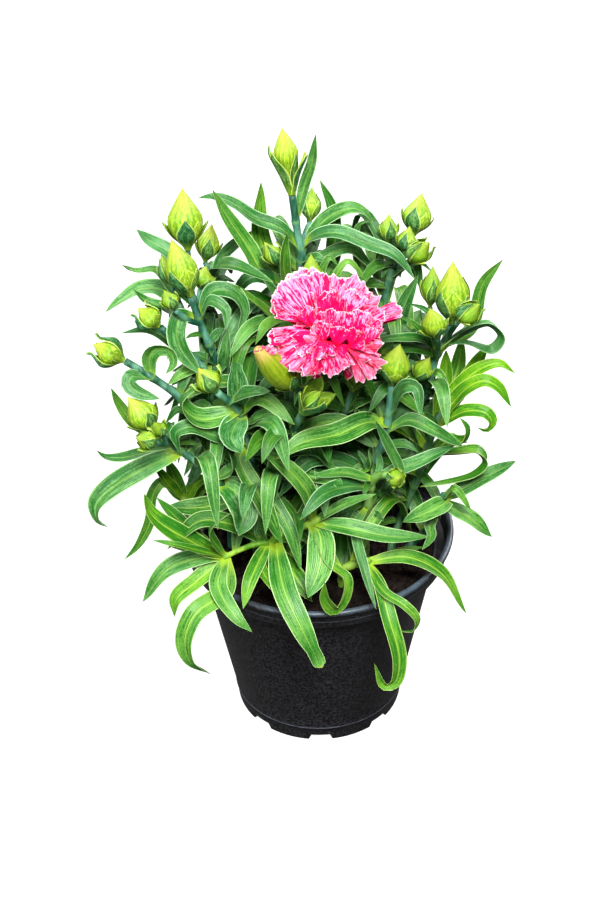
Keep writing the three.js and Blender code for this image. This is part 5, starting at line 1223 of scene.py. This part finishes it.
# Petals that only the fine model has, where the bloom's lobes and folds are seen: their roots and tips
# as x, y and nearness to the viewer, then width, lift, tone, ruffle, and how salmon the salmon ones are.
FANS = [
    (158, 162, 95, 145.5, 138.5, 92, 27, 5, 0.25, 0.5), (160, 160, 92, 155, 135.5, 86, 17, 4, 0.35, 0.8),
    (161, 158, 96, 160.5, 138, 90, 8, 2, 1.0, 0.8), (158, 162, 96, 139.5, 149.5, 91, 17, 4, 0.3, 0.7),
    (159, 163, 97, 148, 159, 94, 9, 2, 0.4, 0.8), (167, 160, 94, 170, 138.5, 86, 15, 4, 0.3, 0.9),
    (169, 160, 95, 179, 139.5, 88, 18, 4, 0.3, 0.9), (171, 160, 97, 186, 147, 90, 16, 4, 0.3, 0.9),
    (173, 158, 101, 179, 146, 102, 12, 3, 0.2, 0.7), (168, 158, 100, 172, 144, 100, 12, 2, 0.4, 1.2),
    (164, 160, 100, 161, 146, 100, 11, 2, 0.6, 1.4), (166, 160, 101, 166, 147, 102, 9, 2, 0.7, 1.4),
    (178, 163, 95, 200.5, 153.5, 88, 8, 1, 0.25, 0.4), (176, 163, 97, 190, 154, 92, 13, 2, 0.35, 0.9),
    (177, 165, 98, 191, 163, 92, 13, 2, 0.35, 0.9), (176, 167, 99, 189, 169, 93, 12, 2, 0.4, 0.9),
    (165, 169, 103, 165, 154.5, 108, 10, 1, 0.45, 0.5), (171, 170, 104, 172, 155.5, 109, 10, 1, 0.45, 0.5),
    (178, 168, 103, 180.5, 155, 107, 10.5, 1, 0.35, 0.5), (184, 167, 101, 187, 158.5, 103, 9, 1, 0.35, 0.7),
    (160, 165, 102, 157.5, 154, 104, 9, 1, 0.7, 1.0), (156, 163, 101, 151.5, 154, 101, 9, 1, 0.6, 1.0),
    (168, 173, 106, 170, 163, 110, 10, 1, 0.7, 0.8), (176, 173, 105, 178, 164.5, 109, 10, 1, 0.6, 0.8),
    (161, 172, 105, 160.5, 161, 110, 10, 1, 0.35, 0.8), (182, 172, 104, 185.5, 163, 106, 9, 1, 0.4, 0.8),
    (160, 168, 101, 134, 169.5, 92, 8, 2, 1.1, 0.5), (161, 168, 103, 137, 175.5, 95, 19, 4, 0.3, 0.9),
    (161, 169, 104, 146, 184, 99, 22, 4, 0.25, 0.9), (162, 170, 105, 158, 187.5, 101, 21, 4, 0.3, 0.9),
    (164, 171, 105, 169, 185.5, 100, 15, 3, 0.35, 0.9), (168, 172, 105, 175.5, 180.5, 100, 11, 2, 0.5, 0.9),
    (159, 168, 106, 147, 170.5, 104, 8, 2, 0.9, 0.7), (160, 169, 107, 149, 176, 104, 10, 2, 0.35, 1.1),
    (160, 169, 108, 153, 171, 109, 8, 1, 0.15, 1.2), (162, 170, 108, 157, 178.5, 108, 9, 1, 0.45, 1.0),
    (164, 171, 108, 165.5, 178, 109, 8, 1, 0.5, 1.0), (161, 166, 107, 156, 163, 110, 8, 1, 0.4, 1.0),
    (175, 173, 102, 190, 174.5, 97, 8, 2, 0.35, 0.9, 0.2),
    (176, 174, 101, 191.5, 181.5, 94, 8, 2, 0.2, 0.8, 0.3),
    (176, 175, 101, 188, 188, 92, 8, 2, 0.25, 0.7, 0.35),
    (175, 175, 101, 181, 191, 92, 5.5, 1, 0.3, 0.5, 0.3),
    (174, 174, 103, 184, 179, 99, 8, 1, 0.4, 0.8, 0.2), (174, 173, 104, 182, 169.5, 107, 9, 1, 0.6, 0.8),
]


def add_bloom():
    foot, throat = seen(*BLOOM_FOOT), seen(*BLOOM_THROAT)
    height = np.linalg.norm(throat - foot)
    axis = (throat - foot) / height
    across = unit(np.array([1, 0, 0]) - axis * axis[0])
    side = np.cross(axis, across)
    add_bloom_petals(throat, axis, across, side)
    add_bloom_calyx(foot, axis, across, side, height)


def add_bloom_petals(throat, axis, across, side):
    """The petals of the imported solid, those that fill its lobes toward the viewer, and the heart's."""
    heart = throat + axis * (GAP + 0.5 + BLOOM_CORE_RADIUS)
    skin = Skin()
    for i, (x, y, back, width, lift) in enumerate(PETALS):
        tip = seen(x, y, back)
        root = heart + (tip - heart) * 0.55 * BLOOM_CORE_RADIUS / np.linalg.norm(tip - heart)
        if i >= OUTER_PETALS:
            tip = root + (tip - root) * INNER_REACH
        add_petal(skin, root, axis, tip, width, lift, i * 1.9, draw_look(0.2, 0.6))
    facing = unit(TO_FRONT + 0.35 * UP)
    for i, fan in enumerate(FANS):
        root, tip = at_near(*fan[:3]), at_near(*fan[3:6])
        width, lift, *looks = fan[6:]
        add_petal(skin, root, facing, tip, width, lift, i * 2.3, *looks)
    for i in range(HEART_PETALS):
        angle = i * GOLDEN_TURN
        out = across * math.cos(angle) + side * math.sin(angle)
        tip = heart + out * (3 + 0.6 * i) + axis * (20 - 0.35 * i)
        add_petal(skin, heart + out * 2 + axis * 2, axis + out * 0.3, tip, draw_look(9, 14), 2.0,
                  i * 1.3, draw_look(0.3, 1.0), ruffle=1.3)
    piece(skin, [PETAL], "bloom_petals")


def add_bloom_calyx(foot, axis, across, side, height):
    """The ribbed cup that holds the bloom, with its five teeth a little higher than the rest."""
    skin = Skin()
    h = np.concatenate([[0], np.linspace(0.005, 1, 22)])[:, None]
    angle = angles(BUD_SIDES)
    size = BLOOM_CALYX_RADIUS * read(CALYX_PROFILE, h)
    size = size * (1 + 0.03 * np.cos(5 * angle) + 0.01 * np.cos(20 * angle))
    size[0] = 0.3
    tall = h * (1 + 0.06 * np.cos(5 * angle) * h ** 3)
    points = foot + axis * (tall * height)[..., None] + size[..., None] * spun(across, side, angle)
    skin.grid(points, facts_of(h * 0.7, np.abs(angle / math.pi - 1), 0.4, 0), closed=True)
    piece(skin, [BUD], "bloom_calyx")


add_bloom()

# ---- inner foliage
JOINT_STEP = 8
INNER_MARGIN = 0.99
INNER_LENGTH = (22, 50)
INNER_WIDTH = (5, 8.5)
TUFT_LENGTH = (9, 20)
MOST_COVERING = 0.12


def grows_clear(points):
    """Whether a leaf stays inside the plant's outline, over the soil, and behind what is laid one by one."""
    if front.covered(points) > MOST_COVERING:
        return False
    tip = points[-1, points.shape[1] // 2]
    return from_middle(tip) <= INNER_MARGIN and points[..., 2].min() > SOIL_TOP + 2


def add_inner_leaves(shoot):
    """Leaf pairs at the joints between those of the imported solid, and a tuft in the axils of each pair."""
    for k, curve in enumerate(shoot.curves):
        main = k == 0
        start, stop = (26 / curve.length, 0.9) if main else (0.15, 0.75)
        turn = draw_look(0, math.pi)
        for part in np.arange(start, stop, JOINT_STEP / curve.length):
            turn += math.pi / 2
            root = curve.at(part)[0]
            for half in (0, math.pi):
                for size in (INNER_LENGTH, TUFT_LENGTH):
                    length = draw_look(*size) * (1 if main else 0.7)
                    width = min(draw_look(*INNER_WIDTH), length * 0.22)
                    azimuth = turn + half + draw_look(-0.5, 0.5)
                    line = arch_line(root, azimuth, length, draw_look(0.5, 1.6), draw_look(0, 0.8))
                    spare = Skin()
                    # inner=True also darkens the top of these leaves as painted shade.
                    upper = add_blade(spare, line, width, 0, shoot.leaf_tone(), inner=True)
                    if grows_clear(upper):
                        shoot.skin.take(spare)


for shoot in (*laid.values(), *rear.values()):
    add_inner_leaves(shoot)
    shoot.finish()

# ---- the pot and its soil
POT_SIDES = 128
DRAIN_SIDES = 24
# The radius at which a turned outline starts or ends at the axis.
MIDDLE = 0.01
WALL_TOP = RIM_HEIGHT - BAND_HEIGHT - 2
INSIDE_FOOT = BASE_RING_RADIUS - WALL
INSIDE_TOP = WALL_TOP_RADIUS - WALL
FLOOR_TOP = FLOOR_UNDERSIDE + WALL


def rings(profile, angle):
    """Rings of points round the upright axis, one for each radius and height of a profile."""
    r, z = np.array(profile, float).T[..., None]
    return np.stack([r * np.cos(angle), r * np.sin(angle), z * np.ones_like(angle)], axis=-1)


def pot_profile():
    """The pot's outline, from the middle of its underside out, up, over the lip and down inside."""
    def run(start, end, steps):
        return [tuple(a + (b - a) * k / steps for a, b in zip(start, end)) for k in range(steps + 1)]

    lip = [(RIM_RADIUS - LIP_RADIUS * (1 - math.cos(t)), RIM_HEIGHT - LIP_RADIUS * (1 - math.sin(t)))
           for t in np.radians(np.linspace(-50, 190, 15))]
    wall = run((BASE_RING_RADIUS + 0.2, BASE_RING_HEIGHT + 1), (WALL_TOP_RADIUS, WALL_TOP - 0.6), 12)
    inside = run((INSIDE_TOP, WALL_TOP), (INSIDE_FOOT, BASE_RING_HEIGHT), 10)
    return [
        (MIDDLE, 0.2), (PAD_RADIUS - 0.5, 0.2), (PAD_RADIUS - 0.1, 0.5), (PAD_RADIUS, 1.2),
        (PAD_RADIUS, FLOOR_UNDERSIDE - 0.3), (PAD_RADIUS + 0.4, FLOOR_UNDERSIDE),
        (DRAIN_CIRCLE, FLOOR_UNDERSIDE), (FOOT_RADIUS - 2.6, FLOOR_UNDERSIDE),
        (FOOT_RADIUS - 2.2, 0.4), (FOOT_RADIUS - 1.9, 0),
        (FOOT_RADIUS - 0.5, 0), (FOOT_RADIUS - 0.1, 0.3), (FOOT_RADIUS + 0.1, 1), (FOOT_RADIUS + 0.5, 4.5),
        (BASE_RING_RADIUS - 0.1, BASE_RING_HEIGHT - 0.7), (BASE_RING_RADIUS + 0.35, BASE_RING_HEIGHT - 0.4),
        (BASE_RING_RADIUS + 0.45, BASE_RING_HEIGHT), (BASE_RING_RADIUS + 0.35, BASE_RING_HEIGHT + 0.4),
        *wall, (WALL_TOP_RADIUS + 0.5, WALL_TOP + 0.1), (BAND_RADIUS - 1.4, WALL_TOP + 0.7),
        (BAND_RADIUS - 0.8, WALL_TOP + 1.0), (BAND_RADIUS - 0.5, WALL_TOP + 1.5),
        (BAND_RADIUS + 0.1, WALL_TOP + 6), (BAND_RADIUS + 0.5, RIM_HEIGHT - 3.6), *lip,
        (RIM_RADIUS - RIM_WIDTH, RIM_HEIGHT - 3), (RIM_RADIUS - RIM_WIDTH - 0.4, WALL_TOP + 3.4),
        (RIM_RADIUS - RIM_WIDTH - 1.2, WALL_TOP + 2.6), (INSIDE_TOP + 1.6, WALL_TOP + 1.6), *inside,
        (INSIDE_FOOT - 0.4, FLOOR_TOP + 0.6), (INSIDE_FOOT - 1.2, FLOOR_TOP), (DRAIN_CIRCLE, FLOOR_TOP),
        (MIDDLE, FLOOR_TOP),
    ]


def cutter(points, faces):
    mesh = bpy.data.meshes.new("cutter")
    mesh.from_pydata([tuple(c * MM for c in p) for p in points], [], faces)
    return mesh


def cut(thing, meshes):
    """Takes the closed meshes away from the thing's own mesh."""
    for mesh in meshes:
        tool = bpy.data.objects.new("cutter", mesh)
        bpy.context.scene.collection.objects.link(tool)
        cutting = thing.modifiers.new("cut", "BOOLEAN")
        cutting.operation, cutting.object, cutting.solver = "DIFFERENCE", tool, "EXACT"
        made = bpy.data.meshes.new_from_object(thing.evaluated_get(bpy.context.evaluated_depsgraph_get()))
        thing.modifiers.clear()
        thing.data = made
        bpy.data.objects.remove(tool)


def notch_mesh(angle):
    wide, deep = NOTCH_WIDTH / 2, 6
    shape = [(-wide - 0.3, -1), (wide + 0.3, -1), (wide - 1.6, NOTCH_HEIGHT), (-wide + 1.6, NOTCH_HEIGHT)]
    turn = np.array([[math.cos(angle), -math.sin(angle)], [math.sin(angle), math.cos(angle)]])
    points = [(*(turn @ (x, -FOOT_RADIUS + y)), z) for y in (-deep, deep) for x, z in shape]
    return cutter(points, [
        (0, 1, 2, 3), (7, 6, 5, 4), (0, 4, 5, 1), (1, 5, 6, 2), (2, 6, 7, 3), (3, 7, 4, 0),
    ])


def drain_mesh(angle):
    middle = (DRAIN_CIRCLE * math.sin(angle), -DRAIN_CIRCLE * math.cos(angle), 0)
    tube = rings([(DRAIN_RADIUS, FLOOR_UNDERSIDE - 2), (DRAIN_RADIUS, FLOOR_TOP + 2)], angles(DRAIN_SIDES))
    count = DRAIN_SIDES
    faces = [(k, (k + 1) % count, (k + 1) % count + count, k + count) for k in range(count)]
    faces += [tuple(range(count))[::-1], tuple(range(count, 2 * count))]
    return cutter((tube + middle).reshape(-1, 3), faces)


def add_pot():
    skin = Skin()
    skin.grid(rings([*pot_profile(), pot_profile()[0]], angles(POT_SIDES)), (0, 0, 0, 0), closed=True)
    pot = piece(skin, [POT], "pot")
    cut(pot, [notch_mesh(2 * math.pi * i / NOTCHES) for i in range(NOTCHES)]
        + [drain_mesh(2 * math.pi * (i + 0.5) / DRAINS) for i in range(DRAINS)])


SOIL_RINGS = 70
SOIL_SIDES = 200
CRUMBS = 900


def soil_height(x, y):
    """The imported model's soil, which lies in low waves."""
    broad = np.sin(x * 0.13 + 1) * np.cos(y * 0.11)
    return SOIL_TOP + SOIL_RELIEF * (broad + 0.5 * np.sin(x * 0.31 - y * 0.27))


def add_crumb(skin, centre, size):
    """A lumpy ball of soil."""
    rows, columns = 4, 7
    polar = np.linspace(0.05, math.pi - 0.05, rows + 1)[:, None]
    turn = (angles(columns) + draw_look(0, 6))[None, :]
    ball = np.stack([np.sin(polar) * np.cos(turn), np.sin(polar) * np.sin(turn),
                     np.cos(polar) * np.ones_like(turn)], axis=-1)
    lumps = look.uniform(0.75, 1.2, (rows + 1, columns, 1))
    stretch = look.uniform(0.7, 1.3, 3)
    skin.grid(centre + ball * lumps * stretch * size, (draw_look(0, 1), 0, 0, 0), closed=True, flip=True)


def add_soil():
    """The uneven top of the soil, the plain body under it, and loose crumbs."""
    skin = Skin()
    radii = SOIL_RADIUS * np.linspace(0.004, 1, SOIL_RINGS) ** 0.8
    angle = angles(SOIL_SIDES)
    x, y = radii[:, None] * np.cos(angle), radii[:, None] * np.sin(angle)
    rough = np.zeros_like(x)
    for scale, height in ((0.35, 0.5), (0.8, 0.35), (1.7, 0.3)):
        a, b, c = look.uniform(0, 6, 3)
        rough += height * np.sin(x * scale + a + 1.3 * np.sin(y * scale * 0.7 + b)) * np.sin(y * scale + c)
    rough += look.uniform(-0.35, 0.35, x.shape)
    z = soil_height(x, y) + rough - 1.2 * smooth(radii, SOIL_RADIUS - 2, SOIL_RADIUS)[:, None]
    top = np.stack([x, y, z], axis=-1)
    skin.grid(top, (0, 0, 0, 0), closed=True)
    foot, low = INSIDE_FOOT - 1, FLOOR_TOP + 1
    below = rings([(SOIL_RADIUS, SOIL_TOP - 6), (foot, low), (MIDDLE, low)], angle)
    skin.grid(np.concatenate([top[-1:], below]), (0, 0, 0, 0), closed=True)
    for _ in range(CRUMBS):
        r, t = (SOIL_RADIUS - 2) * math.sqrt(draw_look(0, 1)), draw_look(0, 2 * math.pi)
        x, y = r * math.cos(t), r * math.sin(t)
        size = draw_look(0.5, 1.0) ** 2 * 2.2
        add_crumb(skin, np.array([x, y, soil_height(x, y) + size * 0.3]), size)
    piece(skin, [SOIL], "soil")


add_pot()
add_soil()

# ---- studio
FLOOR_REACH = 30
LIT_POINT = (0, 0, 0.15)
WHITE = (1, 1, 1, 1)
scene = bpy.context.scene
scene.view_settings.view_transform = "Standard"


def add_floor():
    """A pale floor that the camera sees and that throws no light back on the plant."""
    mesh = bpy.data.meshes.new("floor")
    corners = [(x * FLOOR_REACH, y * FLOOR_REACH, 0) for x, y in ((-1, -1), (1, -1), (1, 1), (-1, 1))]
    mesh.from_pydata(corners, [], [(0, 1, 2, 3)])
    white = Shader("floor", 0.9, 0.1)
    white.base.inputs["Emission Color"].default_value = WHITE
    white.base.inputs["Emission Strength"].default_value = 0.97
    mesh.materials.append(white.finish(srgb(130, 130, 130)))
    thing = bpy.data.objects.new("floor", mesh)
    thing.visible_diffuse = thing.visible_glossy = False
    scene.collection.objects.link(thing)


def lamp(name, place, power, size):
    """A soft square lamp that looks at the plant's middle."""
    light = bpy.data.lights.new(name, "AREA")
    light.energy, light.size = power, size
    thing = bpy.data.objects.new(name, light)
    thing.location = place
    way = Vector(LIT_POINT) - Vector(place)
    thing.rotation_mode = "QUATERNION"
    thing.rotation_quaternion = way.to_track_quat("-Z", "Y")
    scene.collection.objects.link(thing)


def add_world():
    """A little light from all round."""
    world = bpy.data.worlds.new("studio")
    world.use_nodes = True
    sky = world.node_tree.nodes["Background"]
    sky.inputs["Color"].default_value = WHITE
    sky.inputs["Strength"].default_value = 0.11
    scene.world = world


def add_camera():
    """The camera at the photograph's viewing angle."""
    lens = bpy.data.cameras.new("camera")
    lens.lens, lens.sensor_width, lens.sensor_fit = LENS, SENSOR, "AUTO"
    camera = bpy.data.objects.new("camera", lens)
    eye = (SHEET_CENTRE + TO_FRONT * EYE_DISTANCE) * MM
    turn = np.stack([SHEET_RIGHT, SHEET_UP, TO_FRONT], axis=1)
    camera.matrix_world = Matrix.Translation(eye.tolist()) @ Matrix(turn.tolist()).to_4x4()
    scene.collection.objects.link(camera)
    scene.camera = camera


add_floor()
lamp("key", (0.15, -0.85, 1.4), 49, 0.5)
lamp("fill", (-1.0, -0.75, 0.8), 15, 0.8)
lamp("back left", (-1.1, 1.1, 1.0), 28, 1.0)
lamp("back right", (1.1, 1.1, 0.8), 28, 1.0)
add_world()
add_camera()
